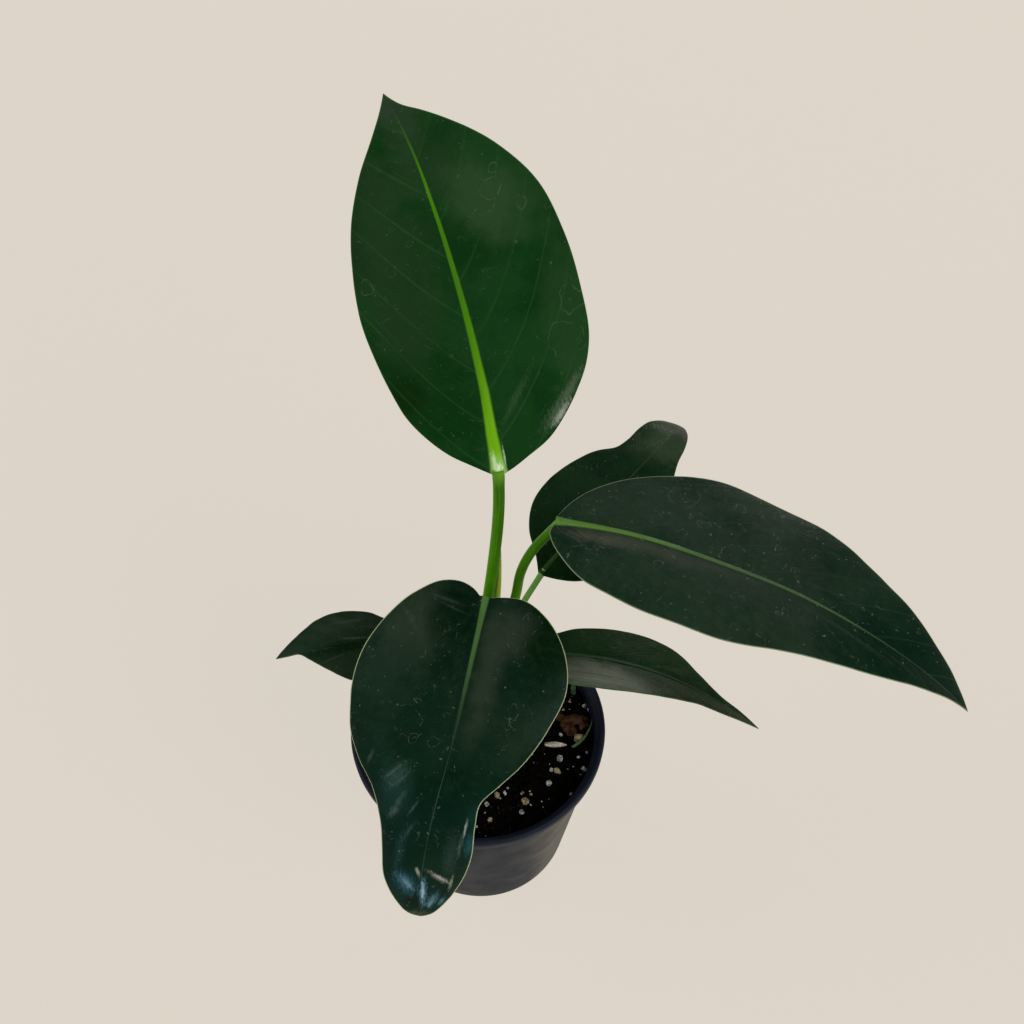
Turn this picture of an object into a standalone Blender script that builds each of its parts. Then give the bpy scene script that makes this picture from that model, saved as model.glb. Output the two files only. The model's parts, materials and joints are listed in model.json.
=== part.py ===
"""Potted green congo philodendron: six leaves on stalks round a short crown, in a round nursery pot.

Metres, +Z up. The origin is the centre of the pot's underside. The camera side of the plant is -Y,
so the front leaf hangs over the pot's lip at -Y and the tall leaf stands at the back.
"""

import math
import random

import bmesh
import bpy
import numpy as np
from mathutils import Matrix, Vector, noise

MM = 0.001
GAP = 0.3 * MM

# Pot, a six inch round
POT_HEIGHT = 130 * MM
RIM_RADIUS = 76.8 * MM
BODY_TOP_RADIUS = 72.2 * MM
BASE_RADIUS = 55.6 * MM
LIP_HEIGHT = 8 * MM
LIP_ROLL = 1.6 * MM
WALL = 1.7 * MM
FLOOR_TOP = 3.0 * MM
FOOT_LIFT = 1.2 * MM
FOOT_WIDTH = 4.5 * MM
CENTRE_PAD_RADIUS = 21 * MM
DRAIN_COUNT = 6
DRAIN_RADIUS = 4.0 * MM
DRAIN_CIRCLE = 40 * MM
DRAIN_SIDES = 12
POT_SIDES = 48

# Soil
SOIL_LEVEL = 117 * MM
SOIL_RINGS = 8
SOIL_RELIEF = 1.3 * MM
SOIL_LUMP_SIZE = 11 * MM
PERLITE_COUNT = 30
PERLITE_RADIUS = (1.3 * MM, 2.3 * MM)
PERLITE_SEED = 11

# Crown, the short stem that every stalk grows from
CROWN_CENTRE = (2 * MM, 8 * MM)
CROWN_RADIUS = 7.6 * MM
CROWN_FOOT = 96 * MM
CROWN_TOP = 158 * MM
CROWN_SIDES = 20
STEM_HOLE_RADIUS = 8.2 * MM

# Blades
BLADE_THICKNESS = 0.9 * MM
MIDRIB_COLUMNS = 2
LAMINA_COLUMNS = 4
VEIN_LAG = 1.45
KEEL_DEPTH = 2.2 * MM
CREST_HEIGHT = 0.9 * MM
SOCKET_BLEND = 7 * MM
STALK_SIDES = 10
STALK_RINGS = 15
SPEAR_SIDES = 8
SPEAR_RINGS = 13

# Edges bent further than this many degrees are shaded sharp
BLADE_CREASE = 60
ROUND_CREASE = 50
MOULDED_CREASE = 35
CHIP_CREASE = 30

# Colours: linear red, green, blue
COLOURS = {
    "leaf_green": (0.013, 0.052, 0.022),
    "leaf_green_bright": (0.012, 0.088, 0.018),
    "stalk_green": (0.075, 0.2, 0.016),
    "crown_brown_green": (0.09, 0.1, 0.035),
    "pot_plastic": (0.033, 0.036, 0.047),
    "soil_mix": (0.009, 0.007, 0.006),
    "bark": (0.085, 0.034, 0.019),
    "pale_wood": (0.55, 0.47, 0.33),
    "grass": (0.05, 0.13, 0.03),
}
ROUGHNESS = {
    "leaf_green": 0.38,
    "leaf_green_bright": 0.34,
    "stalk_green": 0.4,
    "crown_brown_green": 0.6,
    "pot_plastic": 0.42,
    "soil_mix": 0.95,
    "bark": 0.85,
    "pale_wood": 0.8,
    "grass": 0.5,
}

# Leaves, all points in millimetres. A midrib is a run of (x, y, z) points from the stalk to the tip.
# A side is a run of (along the midrib, out from it) points from the stalk to the tip; right is the
# right hand side when the blade is seen from its face with the tip up. Fold is the upward slope
# beside the midrib in degrees and droop is how much that slope falls in each 10 mm outwards, both
# given from base to tip. A wave is (height in mm, waves along the blade, phase).
LEAVES = {
    "back_tall": {
        "midrib": [(13.7, 52, 308), (6, 65, 352), (-7, 88, 413), (-24, 112, 464), (-38, 126, 492)],
        "facing": (0, -1, 0.5),
        "fold": (8, 8),
        "droop": (2, 2, 3),
        "wave": (1.0, 3.0, 0.4),
        "right": [(0, 2.9), (4, 9), (9, 16), (19, 29), (31, 39), (43, 47), (57, 54), (72, 58),
                  (99, 58.5), (124, 56.5), (148, 51), (168, 38), (184, 22.5), (193, 12), (199, 4.5),
                  (206, 0)],
        "left": [(0, 2.9), (8, 12), (19, 24), (31, 33), (45, 40.5), (60, 44.5), (83, 48.5),
                 (103, 50), (129, 46.5), (157, 38), (176, 27), (191, 13.5), (200, 5), (206, 0)],
        "rows": 20,
        "colour": "leaf_green_bright",
    },
    "right_long": {
        "midrib": [(44, 38, 285), (88, 28, 286), (130, 14, 282), (171, 0, 273), (211, -17, 258),
                   (247, -34, 237), (264, -42, 222)],
        "facing": (0.1, 0.05, 1),
        "fold": (7, 5),
        "droop": (3, 3, 4),
        "wave": (0.8, 3.5, 1.2),
        "right": [(0, 2.8), (-2, 8), (0, 15), (8, 26.5), (20, 37), (37, 43), (57, 47.5), (80, 48.5),
                  (102, 47.5), (130, 41), (160, 32), (190, 22), (216, 11), (235, 3.5), (249, 0)],
        "left": [(0, 2.8), (5, 12), (14, 23), (30, 36), (48, 46), (65, 52.5), (88, 55),
                 (112, 53.5), (139, 50), (160, 43.5), (187, 34.5), (213, 21.5), (234, 10.5), (249, 0)],
        "rows": 20,
        "colour": "leaf_green",
    },
    "front_hanging": {
        "midrib": [(5.4, 14.6, 246.5), (-3, -24, 238), (-12, -57, 218), (-22, -84, 187),
                   (-29, -103, 150), (-31, -114, 117)],
        "facing": (0, -0.3, 1),
        "fold": (9, 9, 6, 4),
        "droop": (4, 5, 8, 14),
        "wave": (0.7, 2.5, 2.0),
        "right": [(0, 2.4), (-3.6, 6), (-6.4, 13), (-5.2, 24), (4.6, 37), (24, 51.5), (48, 60),
                  (75, 59.5), (96, 56), (110, 47), (121, 36), (134, 29.5), (155, 24.5), (175, 21),
                  (191, 13), (199, 5), (201, 0)],
        "left": [(0, 2.4), (-1.5, 10), (-2.2, 21), (4.8, 34.6), (19.2, 47.6), (41, 54.5),
                 (63, 49.5), (83, 41), (98, 31), (110, 24), (125, 24), (147, 25.5), (170, 22), (189, 13.5),
                 (199, 5), (201, 0)],
        "rows": 22,
        "colour": "leaf_green",
    },
    "left_small": {
        "midrib": [(-25, 8, 212), (-50, 6, 214), (-75, 5, 211), (-97, 5, 206), (-113.3, 4.6, 199)],
        "facing": (0, 0, 1),
        "fold": (14, 8),
        "droop": (6, 6),
        "wave": (0.6, 2.0, 0.0),
        "right": [(0, 2.1), (5, 7), (14, 11), (27, 16), (34, 20), (43, 22), (52, 22.6), (61, 21.3),
                  (67, 19), (74, 13.8), (80, 9.2), (86, 4.4), (91, 0)],
        "left": [(0, 2.1), (3, 9), (11, 18), (25, 24), (42, 23.5), (58, 14), (69, 6), (76, 1.2),
                 (83, 0.9), (91, 0)],
        "rows": 15,
        "colour": "leaf_green",
    },
    "right_low": {
        "midrib": [(22, -3, 216), (60, -6, 219), (100, -11, 210), (133, -19, 195), (160, -28, 177)],
        "facing": (0, 0.364, 1),
        "fold": (9, 8),
        "droop": (2, 2),
        "wave": (0.6, 2.0, 1.0),
        "right": [(0, 2.1), (2, 9), (9, 18), (20, 24.6), (31, 27.3), (47, 27.8), (68, 25.6), (87, 20.8),
                  (106, 13.7), (121, 10.5), (134, 6.5), (151, 0)],
        "left": [(0, 2.1), (4, 7), (13, 12), (23, 16.5), (32, 21), (44, 24), (62, 26), (79, 25),
                 (94, 21.5), (107, 13.5), (123, 5), (136, 3), (151, 0)],
        "rows": 16,
        "colour": "leaf_green",
    },
    "back_right": {
        "midrib": [(37, 52, 215), (60, 80, 219), (91, 121, 215), (112, 152, 208), (123, 170, 202),
                   (129.5, 182.5, 193)],
        "facing": (0, -0.1, 1),
        "fold": (8, 6),
        "droop": (4, 5, 8),
        "wave": (0.6, 2.5, 0.5),
        "right": [(0, 1.9), (3, 10), (8, 19), (22, 30), (40, 36), (60, 37), (80, 33.5), (98, 26),
                  (111, 20), (125, 15.6), (136, 13.7), (146, 11), (157, 6.5), (163, 3), (166, 0)],
        "left": [(0, 1.9), (6, 8), (18, 23), (35, 33.5), (55, 37), (77, 34.5), (98, 28),
                 (108, 21), (119, 18.8), (136, 18.6), (150, 15.6), (160, 9.5), (165, 3.5), (166, 0)],
        "rows": 17,
        "colour": "leaf_green",
    },
}

# Stalks: where the foot sits on the crown, then points in millimetres on the way to the blade, and
# the radius at foot and top. A foot is (side, azimuth, height) or (top, azimuth, off centre).
STALKS = {
    "back_tall": {
        "foot": ("top", 155, 4.0),
        "path": [(2.6, 19.2, 190), (7.2, 29, 225), (10.4, 38, 249), (13.5, 47.5, 291.5)],
        "radius": (3.5, 2.8),
    },
    "right_long": {
        "foot": ("top", -50, 4.0),
        "path": [(12, 17, 188), (22.6, 33, 221), (25.5, 37, 239), (31.5, 39, 256), (40, 40.5, 270)],
        "radius": (3.2, 2.7),
    },
    "front_hanging": {
        "foot": ("side", 250, 146),
        "path": [(-2.3, -4.2, 149), (-2.2, -5.2, 158), (0, -2, 180), (2.6, 6, 205), (4.6, 14.5, 225),
                 (5.4, 17.6, 239)],
        "radius": (3.1, 2.3),
    },
    "left_small": {
        "foot": ("side", 180, 139),
        "path": [(-10.6, 8, 142), (-13.8, 8, 154), (-16, 8, 180), (-18.5, 8, 202)],
        "radius": (2.7, 2.0),
    },
    "right_low": {
        "foot": ("side", -30, 139),
        "path": [(12.8, 1.8, 142), (15, 0.6, 154), (15, -1, 185), (16.6, -2.6, 207)],
        "radius": (2.7, 2.0),
    },
    "back_right": {
        "foot": ("side", 40, 142),
        "path": [(12, 16.6, 146), (18, 27, 170), (28, 42, 203), (33.2, 47.6, 209.5)],
        "radius": (2.5, 1.8),
    },
}

# Rolled new leaf: foot and points as for a stalk, with the radius at foot, widest place and tip
SPEAR = {
    "foot": ("top", 55, 4.6),
    "path": [(8.3, 22.4, 190), (12, 33, 222), (13.4, 37.5, 238), (14.1, 43, 251)],
    "radius": (2.1, 2.6, 0.4),
}

# Litter on the soil: place in millimetres on the soil's top, turn in degrees
BARK_CHIP = {"place": (60, 7), "turn": 20, "size": (9.0, 7.4, 3.0), "sides": 9}
BARK_CRUMB = {"place": (49.5, 12), "turn": 70, "size": (3.4, 2.8, 2.2), "sides": 7}
WOOD_SLIVER = {"place": (46, -7), "turn": -3, "size": (8.0, 1.9, 1.6), "sides": 8}
GRASS_PATH = [(57, -8.5, 117.75), (63, -4.8, 119.6), (67.2, 0.5, 122.5), (69.3, 6.5, 126)]
GRASS_WIDTH = 1.7 * MM
GRASS_THICKNESS = 0.7 * MM
GRASS_RINGS = 9
SEEDLING = {"place": (58.5, 28), "height": 6.0, "stem": 0.6, "leaf": (2.3, 1.6, 0.5)}
LITTER_CLEARING = 4 * MM


def clear_scene():
    for thing in list(bpy.data.objects):
        bpy.data.objects.remove(thing, do_unlink=True)


def material(name):
    made = bpy.data.materials.get(name)
    if made is None:
        made = bpy.data.materials.new(name)
        made.use_nodes = True
        shader = made.node_tree.nodes["Principled BSDF"]
        shader.inputs["Base Color"].default_value = (*COLOURS[name], 1)
        shader.inputs["Roughness"].default_value = ROUGHNESS[name]
        shader.inputs["Metallic"].default_value = 0
    return made


def add_object(name, mesh_data, colour, parent):
    piece = bpy.data.objects.new(name, mesh_data)
    bpy.context.collection.objects.link(piece)
    piece.data.materials.clear()
    piece.data.materials.append(material(colour))
    piece.parent = parent
    return piece


def mesh_object(name, points, faces, colour, parent, crease):
    """Closed mesh from points and faces, faced outwards, smooth but for edges past the crease angle."""
    data = bpy.data.meshes.new(name)
    work = bmesh.new()
    corners = [work.verts.new(tuple(float(value) for value in point)) for point in points]
    for face in faces:
        work.faces.new([corners[index] for index in face])
    bmesh.ops.recalc_face_normals(work, faces=work.faces)
    work.to_mesh(data)
    work.free()
    data.shade_smooth()
    data.set_sharp_from_angle(angle=math.radians(crease))
    return add_object(name, data, colour, parent)


def combine(piece, group, operation):
    """Fuse the collection's objects into the piece, or cut them from it, then remove them."""
    modifier = piece.modifiers.new("combine", "BOOLEAN")
    modifier.operation = operation
    modifier.operand_type = "COLLECTION"
    modifier.collection = group
    apply_modifiers(piece)
    for member in list(group.objects):
        bpy.data.objects.remove(member, do_unlink=True)
    bpy.data.collections.remove(group)


def new_group(name):
    group = bpy.data.collections.new(name)
    bpy.context.scene.collection.children.link(group)
    return group


def apply_modifiers(piece):
    depsgraph = bpy.context.evaluated_depsgraph_get()
    finished = bpy.data.meshes.new_from_object(piece.evaluated_get(depsgraph))
    piece.modifiers.clear()
    piece.data = finished


def smooth_path(points, count):
    """Evenly spaced points on a smooth curve through the given points."""
    points = np.array(points, dtype=float)
    knots = np.concatenate([[0], np.cumsum(np.linalg.norm(np.diff(points, axis=0), axis=1))])
    steps = np.diff(knots)[:, None]
    slopes = np.diff(points, axis=0) / steps
    tangents = np.empty_like(points)
    tangents[1:-1] = (slopes[1:] * steps[:-1] + slopes[:-1] * steps[1:]) / (steps[1:] + steps[:-1])
    tangents[0] = 2 * slopes[0] - tangents[1]
    tangents[-1] = 2 * slopes[-1] - tangents[-2]
    fine = np.linspace(0, knots[-1], 30 * len(points))
    span = np.clip(np.searchsorted(knots, fine, side="right") - 1, 0, len(points) - 2)
    size = steps[span]
    part = (fine - knots[span])[:, None] / size
    curve = (
        (2 * part**3 - 3 * part**2 + 1) * points[span]
        + (part**3 - 2 * part**2 + part) * size * tangents[span]
        + (3 * part**2 - 2 * part**3) * points[span + 1]
        + (part**3 - part**2) * size * tangents[span + 1]
    )
    run = np.concatenate([[0], np.cumsum(np.linalg.norm(np.diff(curve, axis=0), axis=1))])
    even = np.linspace(0, run[-1], count)
    return np.stack([np.interp(even, run, curve[:, axis]) for axis in range(points.shape[1])], axis=1)


def unit(vectors):
    return vectors / np.linalg.norm(vectors, axis=-1, keepdims=True)


def spread(values, share):
    """Value at each share, 0 to 1, of the way along evenly spaced control values."""
    return np.interp(share, np.linspace(0, 1, len(values)), values)


class LeafSurface:
    """The bent middle surface of a blade, as places along and out from its midrib in millimetres."""

    def __init__(self, leaf):
        self.leaf = leaf
        self.curve = smooth_path(leaf["midrib"], 200)
        gaps = np.linalg.norm(np.diff(self.curve, axis=0), axis=1)
        self.run = np.concatenate([[0], np.cumsum(gaps)])
        self.length = self.run[-1]
        self.heading = unit(np.gradient(self.curve, self.run, axis=0))
        self.reach = max(out for side in ("left", "right") for _, out in leaf[side])

    def frame(self, along):
        """Midrib point with the headings along the midrib, to the right and out of the face."""
        held = np.clip(along, 0, self.length)
        centre = np.stack([np.interp(held, self.run, self.curve[:, i]) for i in range(3)], axis=-1)
        ahead = np.stack([np.interp(held, self.run, self.heading[:, i]) for i in range(3)], axis=-1)
        ahead = unit(ahead)
        centre = centre + ahead * (along - held)[..., None]
        facing = np.array(self.leaf["facing"], dtype=float)
        face = unit(facing - (ahead @ facing)[..., None] * ahead)
        return centre, ahead, np.cross(ahead, face), face

    def place(self, along, out):
        """Points of the middle surface and their face normals; out is negative on the left."""
        centre, _, right, face = self.frame(along)
        share = np.clip(along / self.length, 0, 1)
        slope = np.radians(spread(self.leaf["fold"], share))
        fall = -np.radians(spread(self.leaf["droop"], share)) / 10
        reach = np.abs(out)
        end_slope = slope + fall * reach
        sideways = (np.sin(end_slope) - np.sin(slope)) / fall
        rise = (np.cos(slope) - np.cos(end_slope)) / fall
        height, waves, phase = self.leaf["wave"]
        rise = rise + height * (reach / self.reach) ** 2 * np.sin(2 * math.pi * waves * share + phase)
        side = np.sign(out)
        points = centre + right * (side * sideways)[..., None] + face * rise[..., None]
        normals = face * np.cos(end_slope)[..., None] - right * (side * np.sin(end_slope))[..., None]
        return points, normals

    def grid(self):
        """Rows from base to tip and columns from the left edge to the right one: along and out."""
        rows = self.leaf["rows"]
        share = np.linspace(0, 1, rows + 1)
        station = self.length * share**VEIN_LAG
        socket = self.leaf["left"][0][1]
        halves = []
        for side in ("left", "right"):
            edge = smooth_path(self.leaf[side], rows + 1)
            edge[:, 0] *= self.length / self.leaf[side][-1][0]
            rib = np.minimum(rib_width(station, self.length, socket), 0.5 * edge[:, 1])
            inner = np.linspace(0, 1, MIDRIB_COLUMNS + 1)
            outer = np.linspace(0, 1, LAMINA_COLUMNS + 1)[1:]
            lamina = rib[:, None] + (edge[:, 1] - rib)[:, None] * outer
            out = np.concatenate([rib[:, None] * inner, lamina], axis=1)
            lead = np.concatenate([np.zeros(MIDRIB_COLUMNS + 1), outer])
            along = station[:, None] + (edge[:, 0] - station)[:, None] * lead
            halves.append((along, out))
        along = np.concatenate([halves[0][0][:, :0:-1], halves[1][0]], axis=1)
        out = np.concatenate([-halves[0][1][:, :0:-1], halves[1][1]], axis=1)
        return along, out


def rib_width(along, length, socket):
    """Half the midrib's width: the stalk's radius at the base, a quarter of it at the tip."""
    return socket * (1 - 0.75 * np.clip(along / length, 0, 1))


def blade_sections(surface, along, out):
    """How far the face and the back stand off the middle surface, in millimetres."""
    half = BLADE_THICKNESS / MM / 2
    socket = surface.leaf["left"][0][1]
    share = np.clip(along / surface.length, 0, 1)
    across = np.clip(np.abs(out) / rib_width(along, surface.length, socket), 0, 1)
    round_part = np.sqrt(1 - across**2)
    plug = np.exp(-np.clip(along, 0, None) * MM / SOCKET_BLEND) * (socket - half)
    crest = (CREST_HEIGHT / MM) * (1 - share) ** 1.2
    keel = (KEEL_DEPTH / MM) * (socket / 2.8) * (1 - share)
    face = half + round_part * np.maximum(plug, crest * round_part)
    back = half + round_part * np.maximum(plug, keel)
    return face, back


def blade(name, parent):
    """Thin closed blade with a midrib that swells to a round socket face at the stalk's end."""
    leaf = LEAVES[name]
    surface = LeafSurface(leaf)
    along, out = surface.grid()
    middle, normals = surface.place(along, out)
    face, back = blade_sections(surface, along, out)
    upper = middle + normals * face[..., None]
    lower = middle - normals * back[..., None]
    rows, columns = along.shape
    rows -= 1
    points = [*upper[:rows].reshape(-1, 3), *lower[:rows].reshape(-1, 3)]
    points += [upper[rows, columns // 2], lower[rows, columns // 2]]
    under = rows * columns
    tip_upper = 2 * under
    tip_lower = tip_upper + 1
    faces = []
    for row in range(rows):
        for column in range(columns - 1):
            near = row * columns + column
            if row == rows - 1:
                faces.append((near, near + 1, tip_upper))
                faces.append((under + near, tip_lower, under + near + 1))
                continue
            far = near + columns
            left_half = column < columns // 2
            split = ((near, far + 1, far), (near, near + 1, far + 1))
            if left_half:
                split = ((near, near + 1, far), (near + 1, far + 1, far))
            for triangle in split:
                faces.append(triangle)
                faces.append(tuple(under + index for index in reversed(triangle)))
    for row in range(rows):
        for column in (0, columns - 1):
            near = row * columns + column
            if row == rows - 1:
                faces.append((near, tip_upper, tip_lower, under + near))
            else:
                faces.append((near, near + columns, under + near + columns, under + near))
    faces.append((*range(columns), *range(under + columns - 1, under - 1, -1)))
    points = np.array(points) * MM
    return mesh_object("blade_" + name, points, faces, leaf["colour"], parent, BLADE_CREASE)


def sweep(path, radii, sides, first_heading=None, last_heading=None):
    """Points and faces of a round rod along a path, with flat ends that may be turned."""
    path = np.array(path, dtype=float)
    headings = unit(np.gradient(path, axis=0))
    if first_heading is not None:
        headings[0] = first_heading
    if last_heading is not None:
        headings[-1] = last_heading
    across = np.cross(headings[0], (0.3, 1, 0.1))
    points = []
    for centre, heading, radius in zip(path, headings, radii):
        across = unit(across - np.dot(across, heading) * heading)
        up = np.cross(heading, across)
        for step in range(sides):
            turn = 2 * math.pi * step / sides
            points.append(centre + radius * (math.cos(turn) * across + math.sin(turn) * up))
    faces = [tuple(reversed(range(sides)))]
    for ring in range(len(path) - 1):
        for step in range(sides):
            a = ring * sides + step
            b = ring * sides + (step + 1) % sides
            faces.append((a, b, b + sides, a + sides))
    faces.append(tuple(range(len(points) - sides, len(points))))
    return points, faces


def foot_place(foot):
    """Point a gap off the crown and the heading out of it, in millimetres."""
    kind, azimuth, measure = foot
    turn = math.radians(azimuth)
    outward = np.array([math.cos(turn), math.sin(turn), 0])
    axis = np.array([*CROWN_CENTRE, 0]) / MM
    if kind == "top":
        return axis + outward * measure + (0, 0, (CROWN_TOP + GAP) / MM), (0, 0, 1)
    return axis + outward * (CROWN_RADIUS + GAP) / MM + (0, 0, measure), outward


def stalk(name, parent):
    """Round stalk from the crown to its blade's socket face."""
    spec = STALKS[name]
    surface = LeafSurface(LEAVES[name])
    heading = surface.heading[0]
    end = surface.curve[0] - heading * (GAP / MM)
    start, first_heading = foot_place(spec["foot"])
    path = smooth_path([start, *spec["path"], end], STALK_RINGS)
    share = np.linspace(0, 1, STALK_RINGS)
    foot, top = spec["radius"]
    radii = top + (foot - top) * np.exp(-2 * share) * (1 - share)
    points, faces = sweep(path, radii, STALK_SIDES, first_heading, heading)
    points = np.array(points) * MM
    return mesh_object("stalk_" + name, points, faces, "stalk_green", parent, ROUND_CREASE)


def spear(parent):
    """Rolled new leaf, widest in its middle and pointed at the top."""
    start, heading = foot_place(SPEAR["foot"])
    path = smooth_path([start, *SPEAR["path"]], SPEAR_RINGS)
    foot, widest, tip = SPEAR["radius"]
    radii = spread((foot, widest, widest, tip), np.linspace(0, 1, SPEAR_RINGS))
    points, faces = sweep(path, radii, SPEAR_SIDES, heading)
    points = np.array(points) * MM
    return mesh_object("leaf_spear", points, faces, "stalk_green", parent, ROUND_CREASE)


def turned(name, profile, sides, colour, parent, crease):
    """Solid of revolution about Z; the profile runs from axis to axis as (radius, height)."""
    points = [(0, 0, profile[0][1]), (0, 0, profile[-1][1])]
    rings = profile[1:-1]
    for radius, height in rings:
        for step in range(sides):
            turn = 2 * math.pi * step / sides
            points.append((radius * math.cos(turn), radius * math.sin(turn), height))
    faces = []
    last = 2 + (len(rings) - 1) * sides
    for step in range(sides):
        after = (step + 1) % sides
        faces.append((0, 2 + after, 2 + step))
        faces.append((1, last + step, last + after))
        for ring in range(len(rings) - 1):
            low = 2 + ring * sides
            faces.append((low + step, low + after, low + sides + after, low + sides + step))
    return mesh_object(name, points, faces, colour, parent, crease)


def body_radius(height):
    """Outer radius of the pot's plain wall at a height."""
    wall_top = POT_HEIGHT - LIP_HEIGHT
    return BASE_RADIUS + (BODY_TOP_RADIUS - BASE_RADIUS) * height / wall_top


def pot(parent):
    """Moulded pot: foot ring, centre pad, tapered wall, rolled lip and drain holes."""
    wall_top = POT_HEIGHT - LIP_HEIGHT
    foot_inner = BASE_RADIUS - FOOT_WIDTH
    inner_top = body_radius(wall_top) - WALL
    profile = [
        (0, 0),
        (CENTRE_PAD_RADIUS, 0),
        (CENTRE_PAD_RADIUS + FOOT_LIFT, FOOT_LIFT),
        (foot_inner - FOOT_LIFT, FOOT_LIFT),
        (foot_inner, 0),
        (BASE_RADIUS - 0.6 * MM, 0),
        (BASE_RADIUS, 0.7 * MM),
        (body_radius(wall_top), wall_top),
        (RIM_RADIUS - 1.2 * MM, wall_top + 0.6 * MM),
        (RIM_RADIUS - 0.3 * MM, wall_top + 1.6 * MM),
        (RIM_RADIUS, POT_HEIGHT - 2.6 * MM),
        (RIM_RADIUS - 0.7 * MM, POT_HEIGHT - 0.7 * MM),
        (RIM_RADIUS - LIP_ROLL, POT_HEIGHT),
        (RIM_RADIUS - 2 * LIP_ROLL, POT_HEIGHT - 0.5 * MM),
        (inner_top + 1.2 * MM, POT_HEIGHT - 2.2 * MM),
        (inner_top + 1.0 * MM, wall_top + 2.6 * MM),
        (inner_top, wall_top + 1.2 * MM),
        (body_radius(FLOOR_TOP) - WALL, FLOOR_TOP),
        (0, FLOOR_TOP),
    ]
    made = turned("pot", profile, POT_SIDES, "pot_plastic", parent, MOULDED_CREASE)
    drills = new_group("drain_cutters")
    for number in range(DRAIN_COUNT):
        turn = 2 * math.pi * (number + 0.5) / DRAIN_COUNT
        centre = (DRAIN_CIRCLE * math.cos(turn), DRAIN_CIRCLE * math.sin(turn), FLOOR_TOP / 2)
        rod(drills, centre, DRAIN_RADIUS, 3 * FLOOR_TOP, DRAIN_SIDES)
    combine(made, drills, "DIFFERENCE")
    made.data.set_sharp_from_angle(angle=math.radians(MOULDED_CREASE))
    return made


def rod(group, centre, radius, length, sides):
    """Upright cylinder used as a cutter."""
    data = bpy.data.meshes.new("cutter")
    work = bmesh.new()
    bmesh.ops.create_cone(
        work,
        cap_ends=True,
        segments=sides,
        radius1=radius,
        radius2=radius,
        depth=length,
        matrix=Matrix.Translation(Vector(centre)),
    )
    work.to_mesh(data)
    work.free()
    cutter = bpy.data.objects.new("cutter", data)
    group.objects.link(cutter)
    cutter.hide_render = True
    cutter.display_type = "WIRE"


def litter_places():
    """Places on the soil that something lies on, with the radius that it needs."""
    places = []
    for chip in (BARK_CHIP, BARK_CRUMB, WOOD_SLIVER):
        places.append((chip["place"][0] * MM, chip["place"][1] * MM, chip["size"][0] * MM))
    places.append((SEEDLING["place"][0] * MM, SEEDLING["place"][1] * MM, 2 * MM))
    places.append((GRASS_PATH[0][0] * MM, GRASS_PATH[0][1] * MM, 2 * MM))
    places.append((*CROWN_CENTRE, STEM_HOLE_RADIUS))
    return places


def soil_height(x, y):
    """Top of the soil: lumpy, but level at the wall, round the crown and under the litter."""
    lumps = noise.fractal(Vector((x, y, 0)) / SOIL_LUMP_SIZE, 0.9, 2.1, 3)
    level = 1.0
    for place_x, place_y, radius in litter_places():
        away = (math.hypot(x - place_x, y - place_y) - radius) / LITTER_CLEARING
        level = min(level, max(away, 0.0))
    edge = (soil_radius(SOIL_LEVEL) - math.hypot(x, y)) / LITTER_CLEARING
    return SOIL_LEVEL + SOIL_RELIEF * lumps * min(level, max(edge, 0.0))


def soil_radius(height):
    return body_radius(height) - WALL - GAP


def soil(parent):
    """The mix in the pot: a lumpy top with perlite grains, and a plain hole for the crown."""
    points = [(0, 0, FLOOR_TOP + GAP), (0, 0, soil_height(0, 0))]
    low = soil_radius(FLOOR_TOP + GAP)
    top = soil_radius(SOIL_LEVEL)
    rings = [low, *(top * ring / SOIL_RINGS for ring in range(SOIL_RINGS, 0, -1))]
    for number, radius in enumerate(rings):
        for step in range(POT_SIDES):
            turn = 2 * math.pi * step / POT_SIDES
            x = radius * math.cos(turn)
            y = radius * math.sin(turn)
            height = FLOOR_TOP + GAP if number == 0 else soil_height(x, y)
            points.append((x, y, height))
    faces = []
    last = 2 + (len(rings) - 1) * POT_SIDES
    for step in range(POT_SIDES):
        after = (step + 1) % POT_SIDES
        faces.append((0, 2 + after, 2 + step))
        faces.append((1, last + step, last + after))
        for ring in range(len(rings) - 1):
            a = 2 + ring * POT_SIDES
            faces.append((a + step, a + after, a + POT_SIDES + after, a + POT_SIDES + step))
    made = mesh_object("soil", points, faces, "soil_mix", parent, ROUND_CREASE)
    combine(made, perlite_grains(), "UNION")
    hole_depth = SOIL_LEVEL - CROWN_FOOT + GAP
    centre = (*CROWN_CENTRE, CROWN_FOOT - GAP + hole_depth)
    cutters = new_group("stem_hole_cutter")
    rod(cutters, centre, STEM_HOLE_RADIUS, 2 * hole_depth, CROWN_SIDES)
    combine(made, cutters, "DIFFERENCE")
    return made


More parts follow.
